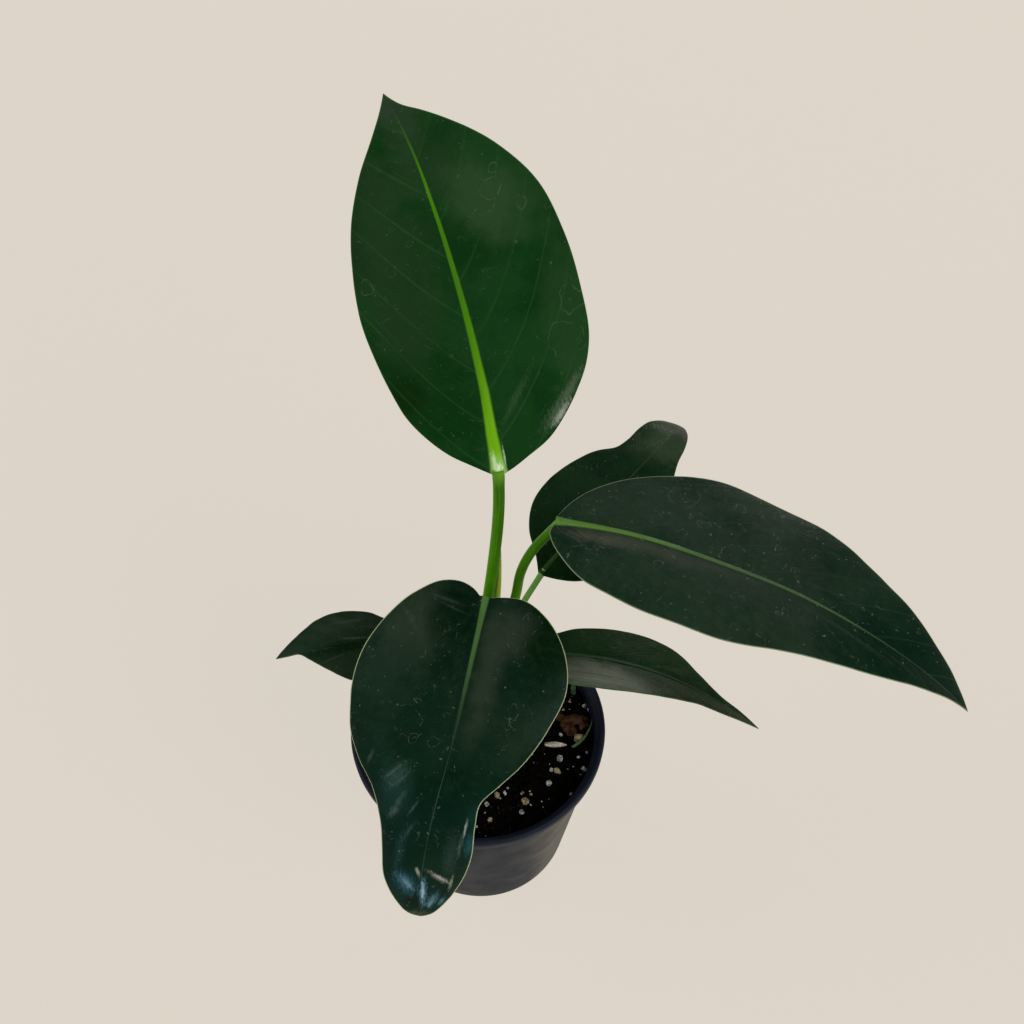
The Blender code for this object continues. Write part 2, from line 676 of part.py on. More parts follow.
def perlite_grains():
    """Half sunk grains scattered over the soil, clear of the litter, the crown and the wall."""
    draw = random.Random(PERLITE_SEED)
    group = new_group("perlite_grains")
    reach = soil_radius(SOIL_LEVEL) - 2 * PERLITE_RADIUS[1]
    while len(group.objects) < PERLITE_COUNT:
        radius = draw.uniform(*PERLITE_RADIUS)
        away = reach * math.sqrt(draw.random())
        turn = draw.uniform(0, 2 * math.pi)
        x = away * math.cos(turn)
        y = away * math.sin(turn)
        crowded = any(
            math.hypot(x - other_x, y - other_y) < other_radius + 2 * radius
            for other_x, other_y, other_radius in litter_places()
        )
        crowded = crowded or any(
            math.hypot(x - other.location.x, y - other.location.y) < 3 * PERLITE_RADIUS[1]
            for other in group.objects
        )
        if crowded:
            continue
        data = bpy.data.meshes.new("grain")
        work = bmesh.new()
        bmesh.ops.create_icosphere(work, subdivisions=1, radius=radius)
        for corner in work.verts:
            corner.co *= draw.uniform(0.8, 1.1)
        work.to_mesh(data)
        work.free()
        grain = bpy.data.objects.new("grain", data)
        grain.location = (x, y, soil_height(x, y) + 0.2 * radius)
        grain.rotation_euler = (draw.uniform(0, 3), draw.uniform(0, 3), 0)
        group.objects.link(grain)
    bpy.context.view_layer.update()
    return group


def crown(parent):
    """Short ringed stem that stands in the soil."""
    height = CROWN_TOP - CROWN_FOOT
    profile = [
        (0, 0),
        (CROWN_RADIUS - 1 * MM, 0),
        (CROWN_RADIUS, 1 * MM),
        (CROWN_RADIUS, 0.30 * height),
        (CROWN_RADIUS - 0.5 * MM, 0.33 * height),
        (CROWN_RADIUS, 0.36 * height),
        (CROWN_RADIUS - 0.1 * MM, 0.58 * height),
        (CROWN_RADIUS - 0.6 * MM, 0.61 * height),
        (CROWN_RADIUS - 0.1 * MM, 0.64 * height),
        (CROWN_RADIUS - 0.2 * MM, height - 1.2 * MM),
        (CROWN_RADIUS - 1.2 * MM, height),
        (0, height),
    ]
    made = turned("crown", profile, CROWN_SIDES, "crown_brown_green", parent, ROUND_CREASE)
    made.location = (*CROWN_CENTRE, CROWN_FOOT)
    return made


def chip(name, spec, colour, parent):
    """Flat lump with an uneven outline, lying on the soil."""
    draw = random.Random(name)
    long, wide, thick = (value * MM for value in spec["size"])
    sides = spec["sides"]
    edges = [draw.uniform(0.82, 1.0) for _ in range(sides)]
    levels = ((0.82, 0.0), (1.0, 0.35), (0.92, 0.75), (0.6, 1.0))
    points = []
    for scale, level in levels:
        for step in range(sides):
            turn = 2 * math.pi * step / sides
            x = long * scale * edges[step] * math.cos(turn)
            y = wide * scale * edges[step] * math.sin(turn)
            lift = thick * level * (draw.uniform(0.85, 1.0) if level == 1.0 else 1.0)
            points.append((x, y, lift))
    faces = [tuple(reversed(range(sides)))]
    for ring in range(len(levels) - 1):
        for step in range(sides):
            a = ring * sides + step
            b = ring * sides + (step + 1) % sides
            faces.append((a, b, b + sides, a + sides))
    top = len(points)
    points.append((0, 0, thick))
    for step in range(sides):
        faces.append((top - sides + step, top - sides + (step + 1) % sides, top))
    made = mesh_object(name, points, faces, colour, parent, CHIP_CREASE)
    made.location = (spec["place"][0] * MM, spec["place"][1] * MM, SOIL_LEVEL + GAP)
    made.rotation_euler.z = math.radians(spec["turn"])
    return made


def grass(parent):
    """Thin curved blade that rises from the soil towards the pot's lip."""
    path = smooth_path(np.array(GRASS_PATH) * MM, GRASS_RINGS)
    headings = unit(np.gradient(path, axis=0))
    points = []
    for number, (centre, heading) in enumerate(zip(path, headings)):
        share = number / (GRASS_RINGS - 1)
        half = GRASS_WIDTH / 2 * (1 - 0.75 * share)
        across = unit(np.cross(heading, (0, 0, 1)))
        face = np.cross(across, heading)
        for side, level in ((-1, -1), (1, -1), (1, 1), (-1, 1)):
            points.append(centre + across * side * half + face * level * GRASS_THICKNESS / 2)
    faces = [(3, 2, 1, 0)]
    for ring in range(GRASS_RINGS - 1):
        for step in range(4):
            a = ring * 4 + step
            b = ring * 4 + (step + 1) % 4
            faces.append((a, b, b + 4, a + 4))
    last = 4 * (GRASS_RINGS - 1)
    faces.append((last, last + 1, last + 2, last + 3))
    return mesh_object("grass_blade", points, faces, "grass", parent, CHIP_CREASE)


def seedling(parent):
    """Tiny seedling: an upright stem with two round seed leaves fused to its top."""
    x, y = (value * MM for value in SEEDLING["place"])
    height = SEEDLING["height"] * MM
    foot = SOIL_LEVEL + GAP
    heights = (foot, foot + height / 2, foot + height)
    points, faces = sweep([(x, y, level) for level in heights], [SEEDLING["stem"] * MM] * 3, 8)
    made = mesh_object("seedling", points, faces, "grass", parent, MOULDED_CREASE)
    group = new_group("seed_leaves")
    long, wide, thick = (value * MM for value in SEEDLING["leaf"])
    for side in (-1, 1):
        data = bpy.data.meshes.new("seed_leaf")
        work = bmesh.new()
        bmesh.ops.create_uvsphere(work, u_segments=10, v_segments=6, radius=1)
        bmesh.ops.scale(work, vec=(wide, long, thick), verts=work.verts)
        work.to_mesh(data)
        work.free()
        seed_leaf = bpy.data.objects.new("seed_leaf", data)
        seed_leaf.location = (x, y + side * 0.8 * long, foot + height)
        seed_leaf.rotation_euler.x = side * math.radians(18)
        group.objects.link(seed_leaf)
    bpy.context.view_layer.update()
    combine(made, group, "UNION")
    return made


def main():
    clear_scene()
    plant = bpy.data.objects.new("potted_philodendron", None)
    bpy.context.collection.objects.link(plant)
    pot(plant)
    soil(plant)
    crown(plant)
    for name in LEAVES:
        blade(name, plant)
        stalk(name, plant)
    spear(plant)
    chip("bark_chip", BARK_CHIP, "bark", plant)
    chip("bark_crumb", BARK_CRUMB, "bark", plant)
    chip("wood_sliver", WOOD_SLIVER, "pale_wood", plant)
    grass(plant)
    seedling(plant)


main()
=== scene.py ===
"""Looks of a young green congo philodendron in a round nursery pot of soil.

Metres, +Z up. The leaf, stalk and litter tables are in millimetres. Every piece rides on the plant's
one body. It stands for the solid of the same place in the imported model, but for the loose grains and
fibres on the soil, which have no solid.
"""

import json
import math
import random

import bmesh
import bpy
import numpy as np
from mathutils import Matrix, Vector, noise

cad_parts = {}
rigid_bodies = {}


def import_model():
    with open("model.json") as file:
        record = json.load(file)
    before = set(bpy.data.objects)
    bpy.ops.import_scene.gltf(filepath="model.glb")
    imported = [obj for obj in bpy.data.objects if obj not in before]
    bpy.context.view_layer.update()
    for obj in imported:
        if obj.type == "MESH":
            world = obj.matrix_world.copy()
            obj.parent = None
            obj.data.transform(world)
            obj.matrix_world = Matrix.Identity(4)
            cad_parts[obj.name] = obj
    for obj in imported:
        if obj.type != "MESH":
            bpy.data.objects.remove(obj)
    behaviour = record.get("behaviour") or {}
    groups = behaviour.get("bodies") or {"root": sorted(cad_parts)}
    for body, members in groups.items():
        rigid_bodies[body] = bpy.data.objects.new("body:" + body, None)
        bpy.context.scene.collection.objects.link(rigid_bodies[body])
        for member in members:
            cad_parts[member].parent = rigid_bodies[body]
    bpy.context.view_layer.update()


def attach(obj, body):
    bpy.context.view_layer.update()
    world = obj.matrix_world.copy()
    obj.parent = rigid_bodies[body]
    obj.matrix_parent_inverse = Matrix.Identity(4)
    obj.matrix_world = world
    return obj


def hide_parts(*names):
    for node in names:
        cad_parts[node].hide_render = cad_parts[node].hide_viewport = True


MM = 0.001

# Pot
POT_HEIGHT = 130 * MM
RIM_RADIUS = 76.8 * MM
BODY_TOP_RADIUS = 72.2 * MM
BASE_RADIUS = 55.6 * MM
LIP_HEIGHT = 8 * MM
WALL_TOP = POT_HEIGHT - LIP_HEIGHT
WALL = 1.7 * MM
FLOOR_TOP = 3.0 * MM
FOOT_LIFT = 1.2 * MM
FOOT_WIDTH = 4.5 * MM
CENTRE_PAD_RADIUS = 21 * MM
DRAIN_COUNT = 6
DRAIN_RADIUS = 4.0 * MM
DRAIN_CIRCLE = 40 * MM
POT_SIDES = 192
POT_CREASE = 35

# Soil
SOIL_LEVEL = 117 * MM
SOIL_SIDES = 180
SOIL_RINGS = 60
SOIL_RELIEF = 1.5 * MM
SOIL_LUMP_SIZE = 11 * MM
SOIL_CRUMB_RELIEF = 0.5 * MM
SOIL_CRUMB_SIZE = 2.6 * MM
SOIL_GAP = 0.3 * MM
LEVEL_EDGE = 4 * MM
LEVEL_LEAST = 0.15
SHEET_INSET = 1.2 * MM
SHEET_CELLS = 60

# Crown
CROWN_CENTRE = (2 * MM, 8 * MM)
CROWN_RADIUS = 7.6 * MM
CROWN_FOOT = 96 * MM
CROWN_TOP = 158 * MM
CROWN_RELIEF = 0.45 * MM
CROWN_GROOVES = (0.33, 0.46, 0.61, 0.78)

# Blades: lengths are in millimetres
BLADE_ROWS = 150
RIB_COLUMNS = 6
LAMINA_COLUMNS = 32
VEIN_LAG = 1.2
BLADE_HALF = 0.38
MARGIN_HALF = 0.2
KEEL_DEPTH = 2.2
CREST_HEIGHT = 0.9
SOCKET_BLEND = 7
USUAL_SOCKET = 2.8
MARGIN_WIDTH = 3.0
RIB_TAPER = 0.75
RIB_SKIN_LEAST = 0.22
VEIN_SHIFT = 0.45
VEIN_WIDTH = 1.2
RELIEF_START = 2.5
RELIEF_BLEND = 6
SLOW_WAVE = 36
FINE_WAVE = 11
FINE_WAVE_HEIGHT = 0.10
PATTERN_GAP = 400

# Leaves: a midrib runs (x, y, z) from stalk to tip; a side runs (along the midrib, out from it).
# Fold is the upward slope beside the midrib in degrees, droop its fall in each 10 mm outwards. A wave
# is (height at the margin, waves from base to tip, phase), and lean shifts the midrib's crest sideways.
# A crease is (along, out, half length, half width, height, turn).
LEAVES = {
    "back_tall": {
        "midrib": [(13.7, 52, 308), (6, 65, 352), (-7, 88, 413), (-24, 112, 464), (-38, 126, 492)],
        "facing": (0, -1, 0.5),
        "fold": (8, 8),
        "droop": (2, 2, 3),
        "wave": (1.0, 3.0, 0.4),
        "right": [(0, 2.9), (4, 9), (9, 16), (19, 29), (31, 39), (43, 47), (57, 54), (72, 58),
                  (99, 58.5), (124, 56.5), (148, 51), (168, 38), (184, 22.5), (193, 12), (199, 4.5),
                  (206, 0)],
        "left": [(0, 2.9), (8, 12), (19, 24), (31, 33), (45, 40.5), (60, 44.5), (83, 48.5),
                 (103, 50), (129, 46.5), (157, 38), (176, 27), (191, 13.5), (200, 5), (206, 0)],
        "look": "fresh",
        "rib": 4.0,
        "lean": (0.3, 0.5, 1.5, 1.2, 0.8, 0.6, 0.3, 0.8, 0.5),
        "vein_gap": 31,
        "vein_lead": (1.0, 0.7),
        "sunk": 0.10,
        "swell": 0.6,
        "creases": [(190, -7, 7, 1.6, 0.7, 2.0), (185, -10, 8, 1.8, -0.6, 2.1),
                    (178, -12, 9, 2.5, 0.5, 2.2)],
    },
    "right_long": {
        "midrib": [(44, 38, 285), (88, 28, 286), (130, 14, 282), (171, 0, 273), (211, -17, 258),
                   (247, -34, 237), (264, -42, 222)],
        "facing": (0.1, 0.05, 1),
        "fold": (7, 5),
        "droop": (3, 3, 4),
        "wave": (0.8, 3.5, 1.2),
        "right": [(0, 2.8), (-2, 8), (0, 15), (8, 26.5), (20, 37), (37, 43), (57, 47.5), (80, 48.5),
                  (102, 47.5), (130, 41), (160, 32), (190, 22), (216, 11), (235, 3.5), (249, 0)],
        "left": [(0, 2.8), (5, 12), (14, 23), (30, 36), (48, 46), (65, 52.5), (88, 55),
                 (112, 53.5), (139, 50), (160, 43.5), (187, 34.5), (213, 21.5), (234, 10.5), (249, 0)],
        "look": "dusty",
        "rib": 2.2,
        "lean": (0.8, 1.2, 1.7, 1.9, 1.6, 1.3, 0.7, 0.0),
        "vein_gap": 36,
        "vein_lead": (1.7, 0.6),
        "sunk": 0.05,
        "swell": 0.5,
        "creases": [(10, 9, 9, 1.6, -0.9, 0.5), (13, 14, 8, 2.2, 0.5, 0.6), (190, 8, 26, 1.5, 0.3, 0.1),
                    (186, 13, 24, 1.8, 0.3, 0.05)],
    },
    "front_hanging": {
        "midrib": [(5.4, 14.6, 246.5), (-3, -24, 238), (-12, -57, 218), (-22, -84, 187),
                   (-29, -103, 150), (-31, -114, 117)],
        "facing": (0, -0.3, 1),
        "fold": (9, 9, 6, 4),
        "droop": (4, 5, 8, 14),
        "wave": (0.7, 2.5, 2.0),
        "right": [(0, 2.4), (-3.6, 6), (-6.4, 13), (-5.2, 24), (4.6, 37), (24, 51.5), (48, 60),
                  (75, 59.5), (96, 56), (110, 47), (121, 36), (134, 29.5), (155, 24.5), (175, 21),
                  (191, 13), (199, 5), (201, 0)],
        "left": [(0, 2.4), (-1.5, 10), (-2.2, 21), (4.8, 34.6), (19.2, 47.6), (41, 54.5),
                 (63, 49.5), (83, 41), (98, 31), (110, 24), (125, 24), (147, 25.5), (170, 22),
                 (189, 13.5), (199, 5), (201, 0)],
        "look": "teal",
        "rib": 1.8,
        "lean": (-0.8, -1.2, -1.5, -1.2, -0.4, 0.0, 0.0),
        "vein_gap": 30,
        "vein_lead": (1.2, 0.5),
        "sunk": 0.04,
        "swell": 0.8,
        "creases": [(182, 8, 12, 3.0, 0.5, 0.1), (186, 2, 11, 2.0, -0.5, 0.0),
                    (176, -11, 13, 2.6, 0.5, -0.1), (180, -17, 12, 2.0, 0.4, -0.15),
                    (120, 26, 22, 3.5, 0.6, 0.15), (130, 17, 20, 3.0, 0.4, 0.1),
                    (12, 26, 8, 14, 0.9, 0.5), (6, 12, 5, 9, -0.7, 0.6), (20, -14, 14, 7, 0.6, 0.2)],
    },
    "left_small": {
        "midrib": [(-25, 8, 212), (-50, 6, 214), (-75, 5, 211), (-97, 5, 206), (-113.3, 4.6, 199)],
        "facing": (0, 0, 1),
        "fold": (14, 8),
        "droop": (6, 6),
        "wave": (0.6, 2.0, 0.0),
        "right": [(0, 2.1), (5, 7), (14, 11), (27, 16), (34, 20), (43, 22), (52, 22.6), (61, 21.3),
                  (67, 19), (74, 13.8), (80, 9.2), (86, 4.4), (91, 0)],
        "left": [(0, 2.1), (3, 9), (11, 18), (25, 24), (42, 23.5), (58, 14), (69, 6), (76, 1.2),
                 (83, 0.9), (91, 0)],
        "look": "small",
        "rib": 1.2,
        "vein_gap": 17,
        "vein_lead": (1.5, 0.5),
        "sunk": 0.08,
        "swell": 0.6,
    },
    "right_low": {
        "midrib": [(22, -3, 216), (60, -6, 219), (100, -11, 210), (133, -19, 195), (160, -28, 177)],
        "facing": (0, 0.364, 1),
        "fold": (9, 8),
        "droop": (2, 2),
        "wave": (0.6, 2.0, 1.0),
        "right": [(0, 2.1), (2, 9), (9, 18), (20, 24.6), (31, 27.3), (47, 27.8), (68, 25.6),
                  (87, 20.8), (106, 13.7), (121, 10.5), (134, 6.5), (151, 0)],
        "left": [(0, 2.1), (4, 7), (13, 12), (23, 16.5), (32, 21), (44, 24), (62, 26), (79, 25),
                 (94, 21.5), (107, 13.5), (123, 5), (136, 3), (151, 0)],
        "look": "glossy",
        "rib": 1.1,
        "vein_gap": 24,
        "vein_lead": (1.8, 0.6),
        "sunk": 0.05,
        "swell": 0.4,
    },
    "back_right": {
        "midrib": [(37, 52, 215), (60, 80, 219), (91, 121, 215), (112, 152, 208), (123, 170, 202),
                   (129.5, 182.5, 193)],
        "facing": (0, -0.1, 1),
        "fold": (8, 6),
        "droop": (4, 5, 8),
        "wave": (0.6, 2.5, 0.5),
        "right": [(0, 1.9), (3, 10), (8, 19), (22, 30), (40, 36), (60, 37), (80, 33.5), (98, 26),
                  (111, 20), (125, 15.6), (136, 13.7), (146, 11), (157, 6.5), (163, 3), (166, 0)],
        "left": [(0, 1.9), (6, 8), (18, 23), (35, 33.5), (55, 37), (77, 34.5), (98, 28),
                 (108, 21), (119, 18.8), (136, 18.6), (150, 15.6), (160, 9.5), (165, 3.5), (166, 0)],
        "look": "deep",
        "rib": 1.6,
        "vein_gap": 26,
        "vein_lead": (1.3, 0.5),
        "sunk": 0.06,
        "swell": 0.5,
    },
}

# Stalks: a foot stands on the crown's top, as (direction in degrees, distance out), or on its side, as
# (direction, height). Two radii are those of the foot and the top.
STALK_SIDES = 28
STALK_RINGS = 70
GROOVE_TURN = 1.6
GROOVE_HALF = 0.5
GROOVE_DEPTH = 0.07
STALKS = {
    "back_tall": {
        "foot": ("top", 155, 4.0),
        "path": [(2.6, 19.2, 190), (7.2, 29, 225), (10.4, 38, 249), (13.5, 47.5, 291.5)],
        "radius": (3.9, 3.15),
    },
    "right_long": {
        "foot": ("top", -50, 4.0),
        "path": [(12, 17, 188), (22.6, 33, 221), (25.5, 37, 239), (31.5, 39, 256), (40, 40.5, 270)],
        "radius": (3.2, 2.7),
    },
    "front_hanging": {
        "foot": ("side", 250, 146),
        "path": [(-2.3, -4.2, 149), (-2.2, -5.2, 158), (0, -2, 180), (2.6, 6, 205), (4.6, 14.5, 225),
                 (5.4, 17.6, 239)],
        "radius": (3.1, 2.3),
    },
    "left_small": {
        "foot": ("side", 180, 139),
        "path": [(-10.6, 8, 142), (-13.8, 8, 154), (-16, 8, 180), (-18.5, 8, 202)],
        "radius": (2.7, 2.0),
    },
    "right_low": {
        "foot": ("side", -30, 139),
        "path": [(12.8, 1.8, 142), (15, 0.6, 154), (15, -1, 185), (16.6, -2.6, 207)],
        "radius": (2.7, 2.0),
    },
    "back_right": {
        "foot": ("side", 40, 142),
        "path": [(12, 16.6, 146), (18, 27, 170), (28, 42, 203), (33.2, 47.6, 209.5)],
        "radius": (2.5, 1.8),
    },
}
SPEAR_SIDES = 40
SPEAR_RINGS = 60
SPEAR = {
    "foot": ("top", 55, 4.6),
    "path": [(8.3, 22.4, 190), (12, 33, 222), (13.4, 37.5, 238), (14.1, 43, 251)],
    "radius": (2.1, 2.6, 0.4),
}

# Litter on the soil
BARK_CHIP = {"place": (60, 7), "turn": 20, "size": (9.0, 7.4, 3.0), "seed": 3}
BARK_CRUMB = {"place": (49.5, 12), "turn": 70, "size": (3.4, 2.8, 2.2), "seed": 8}
WOOD_SLIVER = {"place": (46, -7), "turn": -3, "size": (8.0, 1.9, 1.6), "seed": 5}
GRASS_PATH = [(57, -8.5, 117.75), (63, -4.8, 119.6), (67.2, 0.5, 122.5), (69.3, 6.5, 126)]
SEEDLING = {"place": (58.5, 28), "height": 6.0, "stem": 0.55, "leaf": (2.3, 1.6, 0.5)}

# Cross section of the grass: share of its half width, height
GRASS_SECTION = [(-1, 0.12), (-0.5, -0.10), (0, -0.30), (0.5, -0.10), (1, 0.12), (0.5, 0.10),
                 (0, -0.05), (-0.5, 0.10)]

# Spots where the soil lies level under the litter: x, y, reach
LITTER_RESTS = [(*thing["place"], thing["size"][0]) for thing in (BARK_CHIP, BARK_CRUMB, WOOD_SLIVER)]
LITTER_RESTS += [(*SEEDLING["place"], 2), (*GRASS_PATH[0][:2], 2)]

# Chips of bark
CHIP_BREAKS = 14
CHIP_LAYERS = 0.10
CHIP_TEARS = 0.09
CHIP_CREASE = 38

# Perlite grains, in millimetres; the lift over the soil is a share of a grain's radius
GRAIN_LIFT = 0.2
GRAIN_REACH = 66
GRAIN_SPACING = 5
CROWN_CLEARANCE = 12

# Grains that lie in the open part of the soil: x, y, radius
WHITE_GRAINS = [
    (49.4, -16.0, 2.3), (44.3, -23.5, 1.2), (63.9, -23.1, 1.7), (42.3, -32.3, 1.7),
    (30.5, -36.2, 1.9), (26.4, -50.7, 1.6), (5.7, -46.0, 1.4), (16.0, -38.7, 1.3),
    (65.3, 20.0, 1.4), (68.0, 17.5, 1.0), (60.7, -15.3, 1.0), (55.6, -39.1, 1.0),
    (37.9, -44.1, 0.7), (45.7, -43.9, 0.7), (31.7, -46.3, 0.8), (66.0, -12.0, 0.8),
    (50.3, 0.3, 1.3), (18.1, -35.5, 0.7), (62.1, 22.0, 0.6), (-0.2, -60.0, 0.8),
]
TAN_GRAINS = [
    (28.4, -44.5, 2.4), (7.5, -55.9, 1.6), (12.0, -40.1, 2.3), (47.7, -23.9, 2.0),
    (61.0, -2.6, 2.8), (26.6, -38.9, 1.2), (31.7, -39.8, 1.1), (4.6, -51.1, 0.9),
    (17.4, -57.0, 0.9), (61.6, -26.6, 0.8), (57.3, -21.3, 0.8),
]

# Stage
PAPER = (0.723, 0.665, 0.584)
PAPER_GLOW = 0.925
PAPER_SHADE = 0.10
SKY_TINT = (0.95, 0.98, 1.0)
FLOOR_HALF = 8
PLANT_MIDDLE = (0, -0.05, 0.22)
CAMERA_PLACE = (0.0205, -0.414, 0.893)
CAMERA_DIP = 53


def run_along(points):
    """Distance along the path from its first point to each point."""
    return np.concatenate([[0], np.cumsum(np.linalg.norm(np.diff(points, axis=0), axis=1))])


def smooth_path(points, count):
    """Evenly spaced points on a smooth curve through the given points."""
    points = np.array(points, dtype=float)
    knots = run_along(points)
    steps = np.diff(knots)[:, None]
    slopes = np.diff(points, axis=0) / steps
    tangents = np.empty_like(points)
    tangents[1:-1] = (slopes[1:] * steps[:-1] + slopes[:-1] * steps[1:]) / (steps[1:] + steps[:-1])
    tangents[0] = 2 * slopes[0] - tangents[1]
    tangents[-1] = 2 * slopes[-1] - tangents[-2]
    fine = np.linspace(0, knots[-1], 60 * len(points))
    span = np.clip(np.searchsorted(knots, fine, side="right") - 1, 0, len(points) - 2)
    size = steps[span]
    part = (fine - knots[span])[:, None] / size
    curve = (
        (2 * part**3 - 3 * part**2 + 1) * points[span]
        + (part**3 - 2 * part**2 + part) * size * tangents[span]
        + (3 * part**2 - 2 * part**3) * points[span + 1]
        + (part**3 - part**2) * size * tangents[span + 1]
    )
    run = run_along(curve)
    even = np.linspace(0, run[-1], count)
    return np.stack([np.interp(even, run, curve[:, axis]) for axis in range(points.shape[1])], axis=1)


def unit(vectors):
    """The vectors at length 1."""
    return vectors / np.linalg.norm(vectors, axis=-1, keepdims=True)


def spread(values, share):
    """Values evenly spaced from share 0 to share 1, read off at the given share."""
    return np.interp(share, np.linspace(0, 1, len(values)), values)


def noise_over(points, size, seed):
    """Smooth noise, about -1 to 1, at each point."""
    shift = Vector((seed * 7.3, seed * 3.1, seed * 5.7))
    return np.array([noise.fractal(Vector(point) / size + shift, 1.0, 2.0, 2) for point in points])


# Materials


def wire(tree, socket, value):
    """Link another node's output to the socket, or set the socket's own value."""
    if isinstance(value, bpy.types.NodeSocket):
        tree.links.new(value, socket)
    elif isinstance(value, tuple) and len(value) == 3 and socket.type == "RGBA":
        socket.default_value = (*value, 1)
    else:
        socket.default_value = value


def add_node(tree, kind, inputs, **settings):
    """New node with its settings made first, then its inputs linked or set."""
    node = tree.nodes.new(kind)
    for key, value in settings.items():
        setattr(node, key, value)
    for key, value in inputs.items():
        wire(tree, node.inputs[key], value)
    return node


class Shader:
    """One material's nodes, built step by step towards its surface shader."""

    def __init__(self, name, roughness, specular, tint=None):
        self.material = bpy.data.materials.new(name)
        self.material.use_nodes = True
        self.tree = self.material.node_tree
        self.surface = self.tree.nodes["Principled BSDF"]
        self.surface.inputs["Roughness"].default_value = roughness
        self.surface.inputs["Specular IOR Level"].default_value = specular
        if tint is not None:
            self.surface.inputs["Specular Tint"].default_value = (*tint, 1)

    def add(self, kind, inputs, **settings):
        return add_node(self.tree, kind, inputs, **settings)

    def place(self):
        return self.add("ShaderNodeTexCoord", {}).outputs["Object"]

    def amount(self, name):
        return self.add("ShaderNodeAttribute", {}, attribute_name=name).outputs["Fac"]

    def vector(self, name):
        return self.add("ShaderNodeAttribute", {}, attribute_name=name).outputs["Vector"]

    def scaled(self, vector, scale):
        return self.add("ShaderNodeMapping", {"Vector": vector, "Scale": scale}).outputs["Vector"]

    def noise(self, vector, scale, detail=3.0, roughness=0.55, distortion=0.0):
        inputs = {"Vector": vector, "Scale": scale, "Detail": detail, "Roughness": roughness,
                  "Distortion": distortion}
        return self.add("ShaderNodeTexNoise", inputs).outputs["Fac"]

    def cells(self, vector, scale, feature="F1", dimensions="3D"):
        settings = {"feature": feature, "voronoi_dimensions": dimensions}
        return self.add("ShaderNodeTexVoronoi", {"Vector": vector, "Scale": scale}, **settings)

    def math(self, operation, first, second=0.0):
        return self.add("ShaderNodeMath", {0: first, 1: second}, operation=operation).outputs[0]

    def times(self, first, second):
        return self.math("MULTIPLY", first, second)

    def gap(self, first, second):
        return self.math("ABSOLUTE", self.math("SUBTRACT", first, second))

    def vectors(self, operation, first, second):
        return self.add("ShaderNodeVectorMath", {0: first, 1: second}, operation=operation).outputs[0]

    def warped(self, vector, scale, amount):
        """The vector pushed about by noise, so that what is drawn on it loses its even shape."""
        push = self.add("ShaderNodeTexNoise", {"Vector": vector, "Scale": scale, "Detail": 2.0})
        centred = self.vectors("SUBTRACT", push.outputs["Color"], (0.5, 0.5, 0.5))
        sized = self.add("ShaderNodeVectorMath", {0: centred, "Scale": amount}, operation="SCALE")
        return self.vectors("ADD", vector, sized.outputs[0])

    def oval(self, spot, centre, size, turn=None):
        """0 at the centre of an oval of the given half sizes, 1 on its rim and more beyond it."""
        away = self.vectors("SUBTRACT", spot, (*centre, 0.0))
        if turn is not None:
            turned_back = {"Vector": away, "Angle": -turn}
            away = self.add("ShaderNodeVectorRotate", turned_back, rotation_type="Z_AXIS").outputs[0]
        away = self.vectors("DIVIDE", away, (*size, 1.0))
        return self.add("ShaderNodeVectorMath", {0: away}, operation="LENGTH").outputs["Value"]

    def ramp(self, value, low, high, start=0.0, end=1.0):
        """Smooth step from start, at low and under, to end, at high and over."""
        inputs = {"Value": value, "From Min": low, "From Max": high, "To Min": start, "To Max": end}
        node = self.add("ShaderNodeMapRange", inputs, interpolation_type="SMOOTHSTEP")
        return node.outputs["Result"]

    def mix(self, factor, first, second):
        node = self.add("ShaderNodeMix", {0: factor, 6: first, 7: second}, data_type="RGBA")
        return node.outputs[2]

    def combine(self, x, y, z=0.0):
        return self.add("ShaderNodeCombineXYZ", {"X": x, "Y": y, "Z": z}).outputs["Vector"]

    def split(self, vector):
        return self.add("ShaderNodeSeparateXYZ", {"Vector": vector}).outputs

    def bump(self, height, distance, under=None):
        inputs = {"Height": height, "Distance": distance, "Strength": 1.0}
        if under is not None:
            inputs["Normal"] = under
        return self.add("ShaderNodeBump", inputs).outputs["Normal"]

    def finish(self, colour, roughness=None, normal=None):
        given = {"Base Color": colour, "Roughness": roughness, "Normal": normal}
        for name, value in given.items():
            if value is not None:
                wire(self.tree, self.surface.inputs[name], value)
        return self.material


